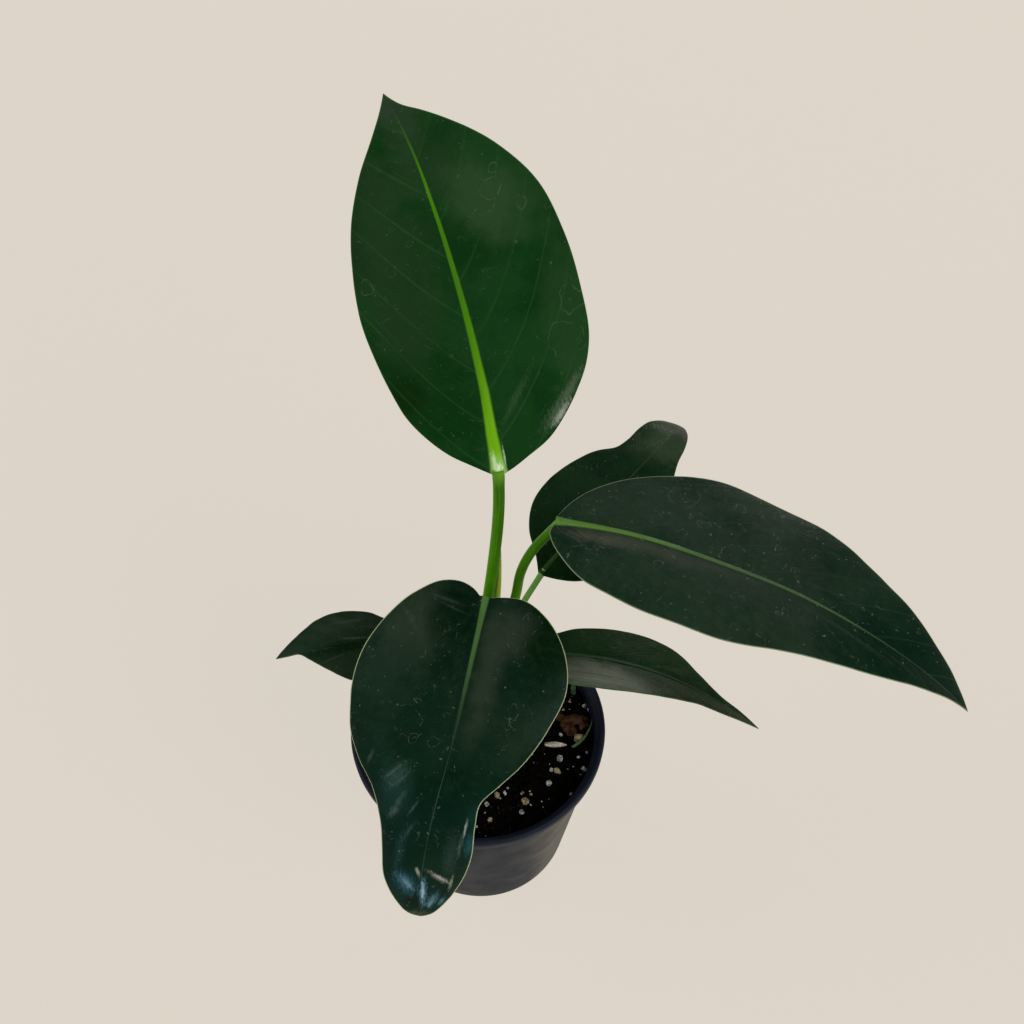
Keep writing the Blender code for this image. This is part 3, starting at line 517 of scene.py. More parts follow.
# Leaf looks: linear colours. A patch of tone, painted sheen or painted shade is (share of the length, out
# in millimetres, half its share, half its width in millimetres, colour, strength). A painted highlight, or
# the painted shade of a fold, is (share of the length, out, half its length and half its width in
# millimetres, its turn, colour, strength). A ring is (share of the length, out, radius in millimetres).
# Film and sheen, a pale film partly of dust and partly painted sheen, is (strength, share where it is
# bare, share where it is full), head and polish are (first share, share where full, strength).
LOOKS = {
    "fresh": {
        "dark": (0.0010, 0.030, 0.0035),
        "light": (0.0055, 0.045, 0.0075),
        "long": 0.206,
        "rings": [(0.73, 28, 4.5), (0.765, 34, 2.6), (0.69, 41, 2.8), (0.45, 53, 6.0), (0.36, 47, 9.0),
                  (0.585, -41, 4.0)],
        "blotch": 0.10,
        "grain": 0.05,
        "patches": [
            (0.62, -28, 0.42, 27, (0.012, 0.040, 0.013), 0.9),
            (0.82, 8, 0.10, 18, (0.014, 0.043, 0.014), 0.8),
            (0.42, 50, 0.30, 13, (0.016, 0.056, 0.015), 0.75),
            (0.72, -45, 0.12, 10, (0.006, 0.025, 0.007), 0.6),
            (0.28, -38, 0.09, 14, (0.0005, 0.017, 0.0005), 0.9),
            (0.87, 20, 0.05, 12, (0.002, 0.030, 0.006), 0.9),
            (0.72, 26, 0.12, 16, (0.030, 0.074, 0.029), 0.8),
            (0.97, -3, 0.08, 12, (0.030, 0.050, 0.030), 0.85),
        ],
        "painted_highlights_and_shade": [
            (0.172, 37.0, 15, 4.2, 0.69, (0.07, 0.12, 0.07), 0.8),
            (0.160, 37.8, 9, 1.9, 0.69, (0.36, 0.40, 0.33), 0.85),
            (0.225, 44.5, 13, 2.4, 0.60, (0.09, 0.13, 0.08), 0.7),
            (0.220, 16.5, 19, 2.2, 0.56, (0.035, 0.085, 0.035), 0.6),
            (0.045, -1.2, 6, 1.5, 0.0, (0.70, 0.85, 0.50), 0.8),
            (0.024, 0.6, 3, 2.4, 0.0, (0.85, 0.95, 0.75), 0.85),
            (0.050, 4.7, 8, 0.5, 0.02, (0.55, 0.70, 0.50), 0.8),
        ],
        "head_tint": (0.012, 0.036, 0.010),
        "head": (0.9, 1.0, 0.0),
        "vein": (0.022, 0.085, 0.020),
        "vein_strength": 0.5,
        "rib_foot": (0.18, 0.47, 0.006),
        "rib_head": (0.065, 0.235, 0.003),
        "rib_fade": (0.74, 1.0),
        "rib_line": 0.0,
        # Painted highlight on the rib's base
        "heel": (0.34, 0.62, 0.16),
        "margin": (0.03, 0.09, 0.02),
        "film_and_sheen": (0.2, 0.10, 0.60),
        "film_and_sheen_tint": (0.020, 0.055, 0.018),
        "dust": 0.4,
        "roughness": 0.20,
        "specular": 0.06,
        "tint": (0.55, 1.0, 0.6),
    },
    "dusty": {
        "dark": (0.005, 0.022, 0.009),
        "light": (0.010, 0.034, 0.014),
        "long": 0.249,
        "rings": [(0.245, -34, 7.0), (0.30, -20, 3.0)],
        "blotch": 0.22,
        "grain": 0.28,
        "patches": [
            (0.15, -22, 0.22, 24, (0.020, 0.042, 0.023), 0.7),
            (0.42, 26, 0.2, 18, (0.013, 0.034, 0.017), 0.6),
            (0.17, 7, 0.17, 6.5, (0.056, 0.066, 0.045), 0.8),
            (0.34, 6.5, 0.15, 5.5, (0.042, 0.050, 0.036), 0.6),
            (0.88, 2, 0.26, 30, (0.0005, 0.014, 0.006), 1.0),
            (0.50, 10, 0.16, 14, (0.012, 0.030, 0.016), 0.7),
        ],
        "painted_highlights_and_shade": [
            (0.10, 9, 18, 4.4, 0.05, (0.075, 0.078, 0.058), 0.7),
            (0.050, 6.5, 7, 1.0, 0.55, (0.012, 0.018, 0.010), 0.9),
            (0.062, 8.0, 6, 0.8, 0.55, (0.12, 0.13, 0.10), 0.5),
            (0.66, 9, 40, 1.2, 0.04, (0.030, 0.050, 0.034), 0.5),
            (0.62, -10, 34, 1.0, -0.10, (0.026, 0.046, 0.032), 0.4),
        ],
        "head_tint": (0.001, 0.018, 0.008),
        "head": (0.58, 0.82, 0.7),
        "vein": (0.025, 0.05, 0.025),
        "vein_strength": 0.42,
        "rib_foot": (0.12, 0.26, 0.035),
        "rib_head": (0.075, 0.165, 0.05),
        "rib_fade": (0.52, 0.84),
        "rib_line": 0.5,
        "heel": (0.12, 0.25, 0.045),
        "margin": (0.25, 0.31, 0.19),
        "film_and_sheen": (0.25, 1.0, 0.45),
        "film_and_sheen_tint": (0.040, 0.054, 0.040),
        "dust": 1.15,
        "roughness": 0.32,
        "specular": 0.08,
        "tint": (0.9, 1.0, 0.9),
    },
    "teal": {
        "dark": (0.0015, 0.0125, 0.0045),
        "light": (0.0036, 0.0190, 0.0078),
        "long": 0.201,
        "rings": [(0.55, 25, 3.4), (0.42, 20, 3.2)],
        "blotch": 0.13,
        "grain": 0.08,
        "patches": [
            (0.12, 38, 0.14, 20, (0.024, 0.042, 0.023), 0.85),
            (0.085, 15, 0.07, 11, (0.001, 0.013, 0.003), 0.95),
            (0.09, -22, 0.08, 10, (0.027, 0.041, 0.025), 0.85),
            (0.30, 42, 0.14, 16, (0.008, 0.024, 0.013), 0.8),
            (0.17, -11, 0.20, 10, (0.029, 0.045, 0.027), 0.9),
            (0.14, -41, 0.09, 15, (0.002, 0.0135, 0.003), 0.95),
            (0.36, -33, 0.10, 16, (0.008, 0.022, 0.009), 0.8),
            (0.60, 25, 0.09, 11, (0.022, 0.072, 0.060), 0.85),
            (0.60, -8, 0.07, 14, (0.0008, 0.012, 0.005), 0.9),
            (0.75, 12, 0.07, 10, (0.0008, 0.012, 0.005), 0.9),
            (0.66, -24, 0.11, 8, (0.006, 0.038, 0.038), 0.8),
            (0.87, 9, 0.06, 9, (0.004, 0.036, 0.040), 0.95),
            (0.92, -8, 0.05, 8, (0.003, 0.028, 0.030), 0.9),
        ],
        "painted_highlights_and_shade": [
            (0.76, 14, 16, 3.0, 0.05, (0.014, 0.042, 0.042), 0.6),
            (0.74, -14, 18, 4.4, 0.0, (0.024, 0.046, 0.042), 0.6),
            (0.70, -18, 8, 1.2, 0.0, (0.10, 0.13, 0.10), 0.5),
            (0.638, -19, 6, 0.7, 0.0, (0.34, 0.37, 0.35), 0.8),
            (0.69, -23, 8, 3.0, 0.0, (0.020, 0.070, 0.085), 0.8),
            (0.90, 2.6, 9, 1.3, 0.0, (0.0005, 0.006, 0.002), 0.95),
            (0.932, 5.0, 4.5, 4.2, 0.0, (0.0005, 0.006, 0.001), 0.95),
            (0.885, -12.6, 8, 1.5, 0.35, (0.0005, 0.010, 0.006), 0.9),
            (0.985, 3, 3, 9, 0.0, (0.050, 0.065, 0.030), 0.9),
            (0.864, 8.6, 9, 5.0, -0.6, (0.045, 0.115, 0.150), 0.9),
            (0.864, 7.6, 5, 2.0, -0.7, (0.13, 0.23, 0.28), 0.8),
            (0.892, -1.4, 11, 2.2, 0.0, (0.09, 0.20, 0.26), 1.0),
            (0.892, -1.2, 8, 1.0, 0.0, (0.30, 0.46, 0.52), 0.9),
            (0.923, -6.5, 7.5, 2.6, 0.4, (0.06, 0.15, 0.19), 0.95),
            (0.940, -5.6, 3.5, 1.1, 0.4, (0.14, 0.26, 0.32), 0.8),
            (0.925, -11.6, 4, 1.5, 0.4, (0.06, 0.15, 0.20), 0.9),
            (0.818, 2.2, 3.6, 1.2, -0.35, (0.34, 0.34, 0.31), 0.8),
            (0.825, -9.4, 7.5, 2.0, -1.0, (0.30, 0.28, 0.28), 0.55),
            (0.825, -10.5, 5, 1.2, -1.0, (0.48, 0.46, 0.41), 0.55),
            (0.843, -16.3, 6.5, 0.9, 0.1, (0.24, 0.30, 0.21), 0.8),
            (0.538, 23.5, 11, 5.0, 0.5, (0.040, 0.080, 0.066), 0.5),
            (0.530, 26.0, 7, 1.0, 0.6, (0.080, 0.125, 0.105), 0.5),
            (0.545, 21.0, 6, 0.9, 0.6, (0.070, 0.115, 0.095), 0.45),
            (0.515, 41, 5, 1.3, 0.2, (0.050, 0.090, 0.078), 0.6),
            (0.640, 21.0, 6, 2.2, 0.4, (0.070, 0.112, 0.094), 0.6),
            (0.600, 19, 7, 1.4, 0.4, (0.040, 0.075, 0.062), 0.6),
            (0.615, 11, 6, 0.8, 0.4, (0.055, 0.095, 0.080), 0.6),
            (0.690, 11, 8, 1.4, 0.3, (0.030, 0.058, 0.052), 0.6),
            (0.10, 37, 17, 1.4, -0.7, (0.045, 0.060, 0.045), 0.35),
            (0.030, 20, 10, 1.2, -1.45, (0.045, 0.058, 0.045), 0.6),
            (0.052, 15, 8, 0.9, -1.35, (0.040, 0.052, 0.040), 0.5),
            (0.012, 14, 9, 1.4, -1.5, (0.001, 0.009, 0.002), 0.8),
        ],
        "head_tint": (0.001, 0.016, 0.0105),
        "head": (0.42, 0.62, 0.8),
        "vein": (0.010, 0.030, 0.014),
        "vein_strength": 0.2,
        "rib_foot": (0.065, 0.15, 0.035),
        "rib_head": (0.020, 0.044, 0.022),
        "rib_fade": (0.12, 0.46),
        "rib_line": 0.35,
        "heel": (0.085, 0.19, 0.05),
        "margin": (0.42, 0.50, 0.28),
        "film_and_sheen": (0.07, 0.75, 0.1),
        "film_and_sheen_tint": (0.034, 0.046, 0.032),
        "dust": 0.8,
        "roughness": 0.24,
        "polish": (0.78, 0.86, 0.10),
        "specular": 0.05,
        "tint": (0.75, 1.0, 0.95),
    },
    "deep": {
        "dark": (0.0015, 0.014, 0.003),
        "light": (0.006, 0.030, 0.008),
        "long": 0.16,
        "rings": [],
        "blotch": 0.12,
        "grain": 0.08,
        "patches": [
            (0.06, 0, 0.12, 20, (0.003, 0.020, 0.002), 0.9),
            (0.56, -8, 0.10, 20, (0.002, 0.020, 0.005), 0.8),
            (0.78, -1, 0.12, 18, (0.032, 0.062, 0.027), 0.9),
            (0.96, -1, 0.08, 18, (0.010, 0.026, 0.008), 0.8),
        ],
        "painted_highlights_and_shade": [(0.79, -3, 9, 1.6, 0.3, (0.050, 0.085, 0.045), 0.6)],
        "head_tint": (0.006, 0.022, 0.006),
        "head": (0.5, 0.9, 0.0),
        "vein": (0.015, 0.04, 0.015),
        "vein_strength": 0.25,
        "rib_foot": (0.030, 0.085, 0.018),
        "rib_head": (0.02, 0.05, 0.02),
        "rib_fade": (0.35, 0.85),
        "rib_line": 0.25,
        "heel": (0.028, 0.070, 0.018),
        "margin": (0.05, 0.10, 0.035),
        "film_and_sheen": (0.15, -1.0, 0.0),
        "film_and_sheen_tint": (0.030, 0.050, 0.025),
        "dust": 0.7,
        "roughness": 0.28,
        "specular": 0.05,
        "tint": (0.8, 1.0, 0.85),
    },
}
LOOKS["small"] = {
    **LOOKS["deep"],
    "patches": [(0.5, 15, 0.3, 9, (0.022, 0.038, 0.020), 0.85),
                (0.45, -14, 0.25, 11, (0.020, 0.038, 0.018), 0.85),
                (0.85, 0, 0.2, 14, (0.003, 0.020, 0.006), 0.9)],
    "painted_highlights_and_shade": [(0.50, 0, 34, 4.0, 0.0, (0.0005, 0.010, 0.001), 0.95),
               (0.45, 4.4, 20, 0.8, 0.04, (0.065, 0.090, 0.060), 0.7),
               (0.50, 15.5, 18, 1.1, -0.04, (0.055, 0.070, 0.050), 0.6),
               (0.38, 10.5, 12, 0.9, 0.06, (0.045, 0.060, 0.040), 0.5),
               (0.60, -8, 16, 0.7, -0.20, (0.050, 0.070, 0.045), 0.6)],
    "roughness": 0.24,
    "specular": 0.06,
}
LOOKS["glossy"] = {
    **LOOKS["deep"],
    "patches": [(0.45, -14, 0.4, 17, (0.014, 0.042, 0.012), 0.9),
                (0.28, 19, 0.22, 14, (0.140, 0.158, 0.118), 1.0),
                (0.65, 8, 0.20, 14, (0.004, 0.019, 0.001), 0.95),
                (0.9, 0, 0.2, 14, (0.002, 0.024, 0.001), 0.95)],
    "blotch": 0.04,
    "grain": 0.03,
    "painted_highlights_and_shade": [(0.33, 3.5, 16, 1.2, 0.0, (0.02, 0.035, 0.018), 0.8),
               (0.18, 15.5, 18, 0.8, 0.05, (0.21, 0.23, 0.18), 0.6),
               (0.26, 21.0, 24, 0.8, 0.03, (0.20, 0.22, 0.175), 0.6),
               (0.30, 16.5, 22, 0.7, 0.02, (0.055, 0.070, 0.045), 0.7),
               (0.24, 24.5, 20, 0.6, 0.02, (0.060, 0.075, 0.050), 0.7)],
    "film_and_sheen": (0.05, -1.0, 0.0),
    "roughness": 0.22,
    "specular": 0.04,
}

# Stalk skins: main colour, pale top and flecks, shade, and how much painted light brightens the foot.
# The main colour and the shade lie on opposite sides of a stalk, as painted light and painted shade.
STALK_SKINS = {
    "stalk_green": ((0.055, 0.20, 0.0012), (0.13, 0.33, 0.02), (0.028, 0.115, 0.0006), 0.7),
    "pale_stalk_green": ((0.14, 0.32, 0.060), (0.22, 0.42, 0.12), (0.08, 0.21, 0.03)),
    "rolled_leaf_green": ((0.13, 0.14, 0.015), (0.34, 0.46, 0.06), (0.42, 0.58, 0.05)),
}

# Film and painted sheen, dust and dried water on the leaves
LEAST_FILM_AND_SHEEN = 0.1
THREAD_TINT = (0.10, 0.14, 0.11)
GRAIN_TINT = (0.045, 0.055, 0.045)
MARK_TINT = (0.26, 0.30, 0.26)
MARK_STRENGTH = 0.35
RING_LINE = 0.2 * MM


def dried_marks(s, place):
    """Dust specks, lint and the rings that water drops leave as they dry."""
    flat = s.warped(s.warped(place, 60, 0.012), 260, 0.005)
    marks = 0.0
    for scale, share in ((40, 0.80), (105, 0.88), (190, 0.90)):
        cell = s.cells(flat, scale, dimensions="2D")
        chosen = s.split(cell.outputs["Color"])
        size = s.ramp(chosen[1], 0.0, 1.0, 0.10, 0.34)
        thin = RING_LINE * scale
        ring = s.ramp(s.gap(cell.outputs["Distance"], size), 0.3 * thin, thin, 1.0, 0.0)
        ring = s.times(ring, s.ramp(chosen[0], share, share + 0.02))
        marks = s.math("MAXIMUM", marks, ring)
    marks = s.times(marks, s.ramp(s.noise(place, 300, 3, 0.6), 0.46, 0.58, 0.0, 0.8))
    specks = s.cells(s.warped(place, 300, 0.004), 360, dimensions="2D")
    drawn = s.split(specks.outputs["Color"])
    speck = s.math("LESS_THAN", specks.outputs["Distance"], s.ramp(drawn[1], 0.0, 1.0, 0.05, 0.16))
    speck = s.times(speck, s.ramp(drawn[0], 0.93, 0.97))
    curl = s.ramp(s.gap(s.noise(place, 210, 1, 0.4, 0.8), 0.60), 0.004, 0.014, 0.7, 0.0)
    curl = s.times(curl, s.ramp(s.noise(s.warped(place, 60, 0.01), 150, 2), 0.62, 0.68))
    return s.math("MAXIMUM", s.math("MAXIMUM", marks, speck), curl)


def leaf_green(s, look, place, share, side):
    """Mottled green with the look's own patches of tone, painted sheen and painted shade."""
    mottle = s.ramp(s.noise(place, 20, 5, 0.6), 0.40, 0.60)
    colour = s.mix(mottle, look["dark"], look["light"])
    spot = s.combine(share, side)
    uneven = s.ramp(s.noise(place, 38, 5, 0.6), 0.3, 0.7, -0.35, 0.35)
    # Patches of tone, painted sheen and painted shade
    for at, off, long, wide, tone, most in look["patches"]:
        away = s.oval(spot, (at, off * MM), (long, wide * MM))
        colour = s.mix(s.ramp(s.math("ADD", away, uneven), 0.25, 1.35, most, 0.0), colour, tone)
    return colour


def film_and_sheen_cover(s, look, share):
    """How thickly the pale film and painted sheen lie: they thin out from their covered share to their
    bare one.
    """
    _, bare, covered = look["film_and_sheen"]
    low, high = sorted((bare, covered))
    ends = (LEAST_FILM_AND_SHEEN, 1.0) if bare < covered else (1.0, LEAST_FILM_AND_SHEEN)
    return s.ramp(share, low, high, *ends)


def with_midrib(s, look, colour, share, broken):
    """The colour with its midrib, which fades towards the tip but for a thin pale thread."""
    rib_colour = s.mix(s.ramp(share, 0.05, 0.5), look["rib_foot"], look["rib_head"])
    # The heel colour at the rib's base is partly a painted highlight, strongest on the fresh look
    rib_colour = s.mix(s.ramp(share, 0.01, 0.08, 1.0, 0.0), rib_colour, look["heel"])
    rib_edge = s.ramp(s.amount("rib"), 0.7, 1.35, 1.0, 0.0)
    rib = s.times(rib_edge, s.ramp(share, *look["rib_fade"], 1.0, 0.0))
    colour = s.mix(rib, colour, rib_colour)
    thread = s.times(s.ramp(s.amount("crest"), 0.0001, 0.0004, look["rib_line"], 0.0), broken)
    return s.mix(thread, colour, THREAD_TINT)


def with_painted_highlights_and_shade(s, look, colour, place, spot):
    """The colour with painted highlights and the painted shade of its folds, both finely flecked."""
    flecked = s.ramp(s.noise(s.scaled(place, (900, 300, 1)), 1.0, 4, 0.75), 0.25, 0.75, 0.55, -0.45)
    for at, off, long, wide, turn, tone, most in look["painted_highlights_and_shade"]:
        away = s.oval(spot, (at * look["long"], off * MM), (long * MM, wide * MM), turn)
        colour = s.mix(s.ramp(s.math("ADD", away, flecked), 0.0, 1.45, most, 0.0), colour, tone)
    return colour


def with_marks(s, look, colour, place, spot):
    """The colour under dust, dried marks and the look's own larger rings."""
    marks = s.times(dried_marks(s, place), look["dust"])
    even = s.warped(spot, 110, 0.009)
    for at, off, radius in look["rings"]:
        ends = {0: even, 1: (at * look["long"], off * MM, 0.0)}
        away = s.add("ShaderNodeVectorMath", ends, operation="DISTANCE").outputs["Value"]
        ring = s.times(s.ramp(s.gap(away, radius * MM), 0.00008, 0.00034, 0.42, 0.0),
                       s.ramp(s.noise(place, 160, 3), 0.38, 0.52))
        marks = s.math("MAXIMUM", marks, ring)
    return s.mix(s.times(marks, MARK_STRENGTH), colour, MARK_TINT)


def leaf_face(name, look):
    """Upper face of a blade: mottled green, veins, midrib, pale margin, dust, dried water rings, and
    painted sheen, highlights and shade.
    """
    s = Shader(name, look["roughness"], look["specular"], look["tint"])
    place = s.vector("place")
    share = s.amount("share")
    vein = s.amount("vein")
    side = s.amount("out")
    spot = s.combine(s.times(share, look["long"]), side)
    colour = leaf_green(s, look, place, share, side)
    cover = film_and_sheen_cover(s, look, share)
    blotches = s.ramp(s.noise(place, 210, 5, 0.7, 0.4), 0.44, 0.62, 0.0, look["blotch"])
    colour = s.mix(s.times(blotches, cover), colour, look["film_and_sheen_tint"])
    start, end, strength = look["head"]
    head = s.times(s.ramp(share, start, end, 0.0, strength),
                   s.ramp(s.noise(place, 18, 3), 0.25, 0.6, 0.3, 1.0))
    colour = s.mix(head, colour, look["head_tint"])
    out = s.math("ABSOLUTE", side)
    along_veins = s.combine(s.times(vein, 36.0), s.times(out, 45.0), s.split(place)[0])
    streaks = s.noise(along_veins, 1.0, 4, 0.65)
    colour = s.mix(s.ramp(streaks, 0.5, 0.8, 0.0, 0.25), colour, look["vein"])
    broken = s.ramp(s.noise(place, 30, 2), 0.3, 0.7, 0.35, 1.0)
    line = s.times(s.ramp(s.math("PINGPONG", vein, 0.5), 0.0, 0.05, 1.0, 0.0), broken)
    colour = s.mix(s.times(line, look["vein_strength"]), colour, look["vein"])
    colour = with_midrib(s, look, colour, share, broken)
    # Pale film, partly dust and partly painted sheen
    film_and_sheen = s.times(s.ramp(s.noise(place, 13, 5, 0.6), 0.44, 0.62, 0.0, look["film_and_sheen"][0]), cover)
    colour = s.mix(film_and_sheen, colour, look["film_and_sheen_tint"])
    # Painted highlights, and the painted shade of folds
    colour = with_painted_highlights_and_shade(s, look, colour, place, spot)
    grain = s.times(s.ramp(s.noise(place, 1500, 2), 0.5, 0.75, 0.0, look["grain"]), cover)
    colour = s.mix(grain, colour, GRAIN_TINT)
    colour = with_marks(s, look, colour, place, spot)
    edge = s.ramp(s.amount("margin"), 0.0001, 0.0007, 1.0, 0.0)
    colour = s.mix(edge, colour, look["margin"])
    smoothest = look["roughness"] - 0.07
    roughness = s.ramp(s.noise(place, 40, 4), 0.3, 0.75, smoothest, look["roughness"] + 0.08)
    roughness = s.math("ADD", roughness, s.times(film_and_sheen, 0.3))
    if "polish" in look:
        start, end, lower = look["polish"]
        roughness = s.math("SUBTRACT", roughness, s.ramp(share, start, end, 0.0, lower))
    normal = s.bump(streaks, 0.00014)
    normal = s.bump(line, 0.00006, normal)
    normal = s.bump(s.noise(place, 420, 3), 0.00007, normal)
    return s.finish(colour, roughness, normal)


def leaf_underside(name, look):
    """Underside of a blade: paler and duller, with raised veins."""
    s = Shader(name, 0.5, 0.12, (0.7, 1.0, 0.7))
    place = s.vector("place")
    vein = s.amount("vein")
    share = s.amount("share")
    pale = tuple(2.2 * value + 0.006 for value in look["light"])
    deep = tuple(1.5 * value + 0.003 for value in look["light"])
    vein_green = tuple(3.0 * value for value in look["light"])
    colour = s.mix(s.ramp(s.noise(place, 30, 4), 0.3, 0.7), deep, pale)
    along_veins = s.combine(s.times(vein, 16.0), s.times(s.split(place)[0], 60.0))
    streaks = s.noise(along_veins, 1.0, 3, 0.6)
    line = s.ramp(s.math("PINGPONG", vein, 0.5), 0.0, 0.06, 1.0, 0.0)
    colour = s.mix(s.times(line, 0.5), colour, vein_green)
    rib_colour = s.mix(s.ramp(share, 0.0, 0.6), look["rib_foot"], look["rib_head"])
    rib = s.times(s.ramp(s.amount("rib"), 0.8, 1.3, 1.0, 0.0), s.ramp(share, 0.8, 1.0, 1.0, 0.0))
    colour = s.mix(rib, colour, rib_colour)
    edge = s.ramp(s.amount("margin"), 0.0002, 0.0007, 1.0, 0.0)
    colour = s.mix(edge, colour, look["margin"])
    normal = s.bump(streaks, 0.0002)
    normal = s.bump(line, 0.0003, normal)
    return s.finish(colour, s.ramp(s.noise(place, 60, 3), 0.3, 0.7, 0.42, 0.6), normal)


def stalk_skin(name, green, pale, shade, painted_foot_light=0.0):
    """Smooth fleshy stalk: fine lengthwise streaks, pale flecks and top, painted light and shade on its
    sides, a foot brightened by painted light.
    """
    s = Shader(name, 0.34, 0.12, (0.5, 1.0, 0.3))
    place = s.vector("place")
    across, along, left = s.split(place)[:3]
    streaks = s.noise(s.combine(s.times(across, 9.0), s.times(along, 30.0)), 1.0, 4, 0.6)
    # Painted light and painted shade: one side of the stalk lighter, the other darker
    lit = s.math("ADD", streaks, s.times(left, 0.35))
    colour = s.mix(s.ramp(lit, 0.35, 0.7), shade, green)
    colour = s.mix(s.ramp(s.noise(place, 3.0, 2), 0.45, 0.75, 0.0, 0.35), colour, pale)
    colour = s.mix(s.ramp(s.amount("share"), 0.93, 0.995, 0.0, 0.8), colour, pale)
    # Painted light that brightens the foot
    foot = s.ramp(along, 0.055, 0.13, painted_foot_light, 0.0)
    colour = s.mix(foot, colour, tuple(1.9 * value for value in green))
    flecks = s.cells(s.combine(s.times(across, 7.0), s.times(along, 170.0)), 1.0)
    colour = s.mix(s.ramp(flecks.outputs["Distance"], 0.06, 0.16, 0.5, 0.0), colour, pale)
    normal = s.bump(streaks, 0.00015)
    return s.finish(colour, s.ramp(streaks, 0.3, 0.7, 0.3, 0.46), normal)


def crown_skin():
    """Ringed stem: fibrous brown green, darkened by soil at its foot."""
    s = Shader("crown_brown_green", 0.6, 0.3)
    place = s.place()
    fibres = s.noise(s.scaled(place, (260, 260, 60)), 1.0, 4, 0.65)
    colour = s.mix(s.ramp(fibres, 0.35, 0.7), (0.028, 0.04, 0.010), (0.085, 0.11, 0.025))
    brown = s.ramp(s.noise(place, 90, 3), 0.45, 0.62)
    colour = s.mix(brown, colour, (0.055, 0.032, 0.014))
    soiled = s.ramp(s.split(place)[2], SOIL_LEVEL, SOIL_LEVEL + 18 * MM, 0.8, 0.0)
    colour = s.mix(soiled, colour, (0.02, 0.013, 0.008))
    return s.finish(colour, s.ramp(fibres, 0.3, 0.7, 0.5, 0.75), s.bump(fibres, 0.0008))


def pot_plastic():
    """Moulded dark plastic: fine grain, turning lines, scuffs, dust, painted light on one side and a
    darker lip.
    """
    s = Shader("pot_plastic", 0.5, 0.10)
    place = s.place()
    x, y, z = s.split(place)[:3]
    colour = s.mix(s.ramp(s.noise(place, 25, 4), 0.3, 0.7), (0.005, 0.008, 0.015), (0.008, 0.012, 0.020))
    grain = s.noise(place, 900, 2)
    colour = s.mix(s.ramp(grain, 0.62, 0.8, 0.0, 0.2), colour, (0.06, 0.065, 0.075))
    dust = s.times(s.ramp(z, 0.0, 0.03, 0.2, 0.0), s.noise(place, 60, 4))
    colour = s.mix(dust, colour, (0.08, 0.075, 0.065))
    # Painted light: the right front side of the pot is painted lighter
    across = s.math("ADD", x, s.ramp(s.noise(place, 40, 3), 0.3, 0.7, -0.004, 0.004))
    painted_light_side = s.times(s.ramp(across, 0.027, 0.050), s.ramp(y, -0.045, -0.010, 1.0, 0.0))
    colour = s.mix(painted_light_side, colour, (0.085, 0.078, 0.064))
    scuffs = s.noise(s.scaled(place, (700, 700, 120)), 1.0, 2, 0.5, 1.2)
    scuff = s.ramp(scuffs, 0.68, 0.75, 0.0, 0.15)
    colour = s.mix(scuff, colour, (0.06, 0.063, 0.07))
    lip = s.ramp(z, WALL_TOP - 1.5 * MM, WALL_TOP + 0.5 * MM)
    worn = s.ramp(s.noise(place, 70, 4), 0.45, 0.8)
    lip_colour = s.mix(worn, (0.007, 0.010, 0.020), (0.013, 0.018, 0.034))
    colour = s.mix(lip, colour, lip_colour)
    turning_lines = s.noise(s.scaled(place, (18, 18, 420)), 1.0, 3)
    roughness = s.math("ADD", s.ramp(s.noise(place, 45, 4), 0.3, 0.7, 0.44, 0.56), scuff)
    normal = s.bump(turning_lines, 0.00003)
    normal = s.bump(grain, 0.00002, normal)
    return s.finish(colour, roughness, normal)


def crumbly(name, dark, light, fleck, roughness=0.95):
    """Earth and bark: mottled colour, rough all over."""
    s = Shader(name, roughness, 0.04)
    place = s.place()
    colour = s.mix(s.ramp(s.noise(place, 420, 4, 0.65), 0.35, 0.68), dark, light)
    spots = s.ramp(s.noise(place, 1300, 2), 0.66, 0.74)
    colour = s.mix(s.times(spots, 0.8), colour, fleck)
    height = s.noise(place, 1500, 4, 0.7)
    return s.finish(colour, s.ramp(height, 0.3, 0.7, roughness - 0.15, roughness), s.bump(height, 0.0006))


def perlite(name, shade, white, stain):
    """Popped glassy grains: chalky white with pits and earth stains."""
    s = Shader(name, 0.8, 0.3)
    place = s.place()
    pits = s.cells(place, 1500, "SMOOTH_F1").outputs["Distance"]
    colour = s.mix(s.ramp(pits, 0.1, 0.6), shade, white)
    colour = s.mix(s.ramp(s.noise(place, 500, 4), 0.46, 0.64, 0.0, 0.8), colour, stain)
    return s.finish(colour, s.ramp(pits, 0.1, 0.6, 0.7, 0.92), s.bump(pits, 0.0005))


def fibrous(name, dark, light, roughness, scale=(260, 1500, 1500)):
    """Wood, roots and grass: colour and relief run along the fibres."""
    s = Shader(name, roughness, 0.3)
    place = s.place()
    fibres = s.noise(s.scaled(place, scale), 1.0, 4, 0.65)
    colour = s.mix(s.ramp(fibres, 0.32, 0.7), dark, light)
    patches = s.noise(place, 300, 3)
    colour = s.mix(s.ramp(patches, 0.5, 0.75, 0.0, 0.5), colour, dark)
    return s.finish(colour, s.ramp(patches, 0.3, 0.7, roughness - 0.1, roughness), s.bump(fibres, 0.0005))


# Meshes


def new_piece(name, mesh_data, materials):
    piece = bpy.data.objects.new(name, mesh_data)
    bpy.context.scene.collection.objects.link(piece)
    mesh_data.materials.clear()
    for material in materials:
        mesh_data.materials.append(material)
    return piece


def finished_mesh(work, data, crease=None):
    """Keep the worked mesh with outward faces, smooth but for edges past the crease angle."""
    bmesh.ops.recalc_face_normals(work, faces=work.faces)
    work.to_mesh(data)
    work.free()
    data.shade_smooth()
    if crease is not None:
        data.set_sharp_from_angle(angle=math.radians(crease))
    return data


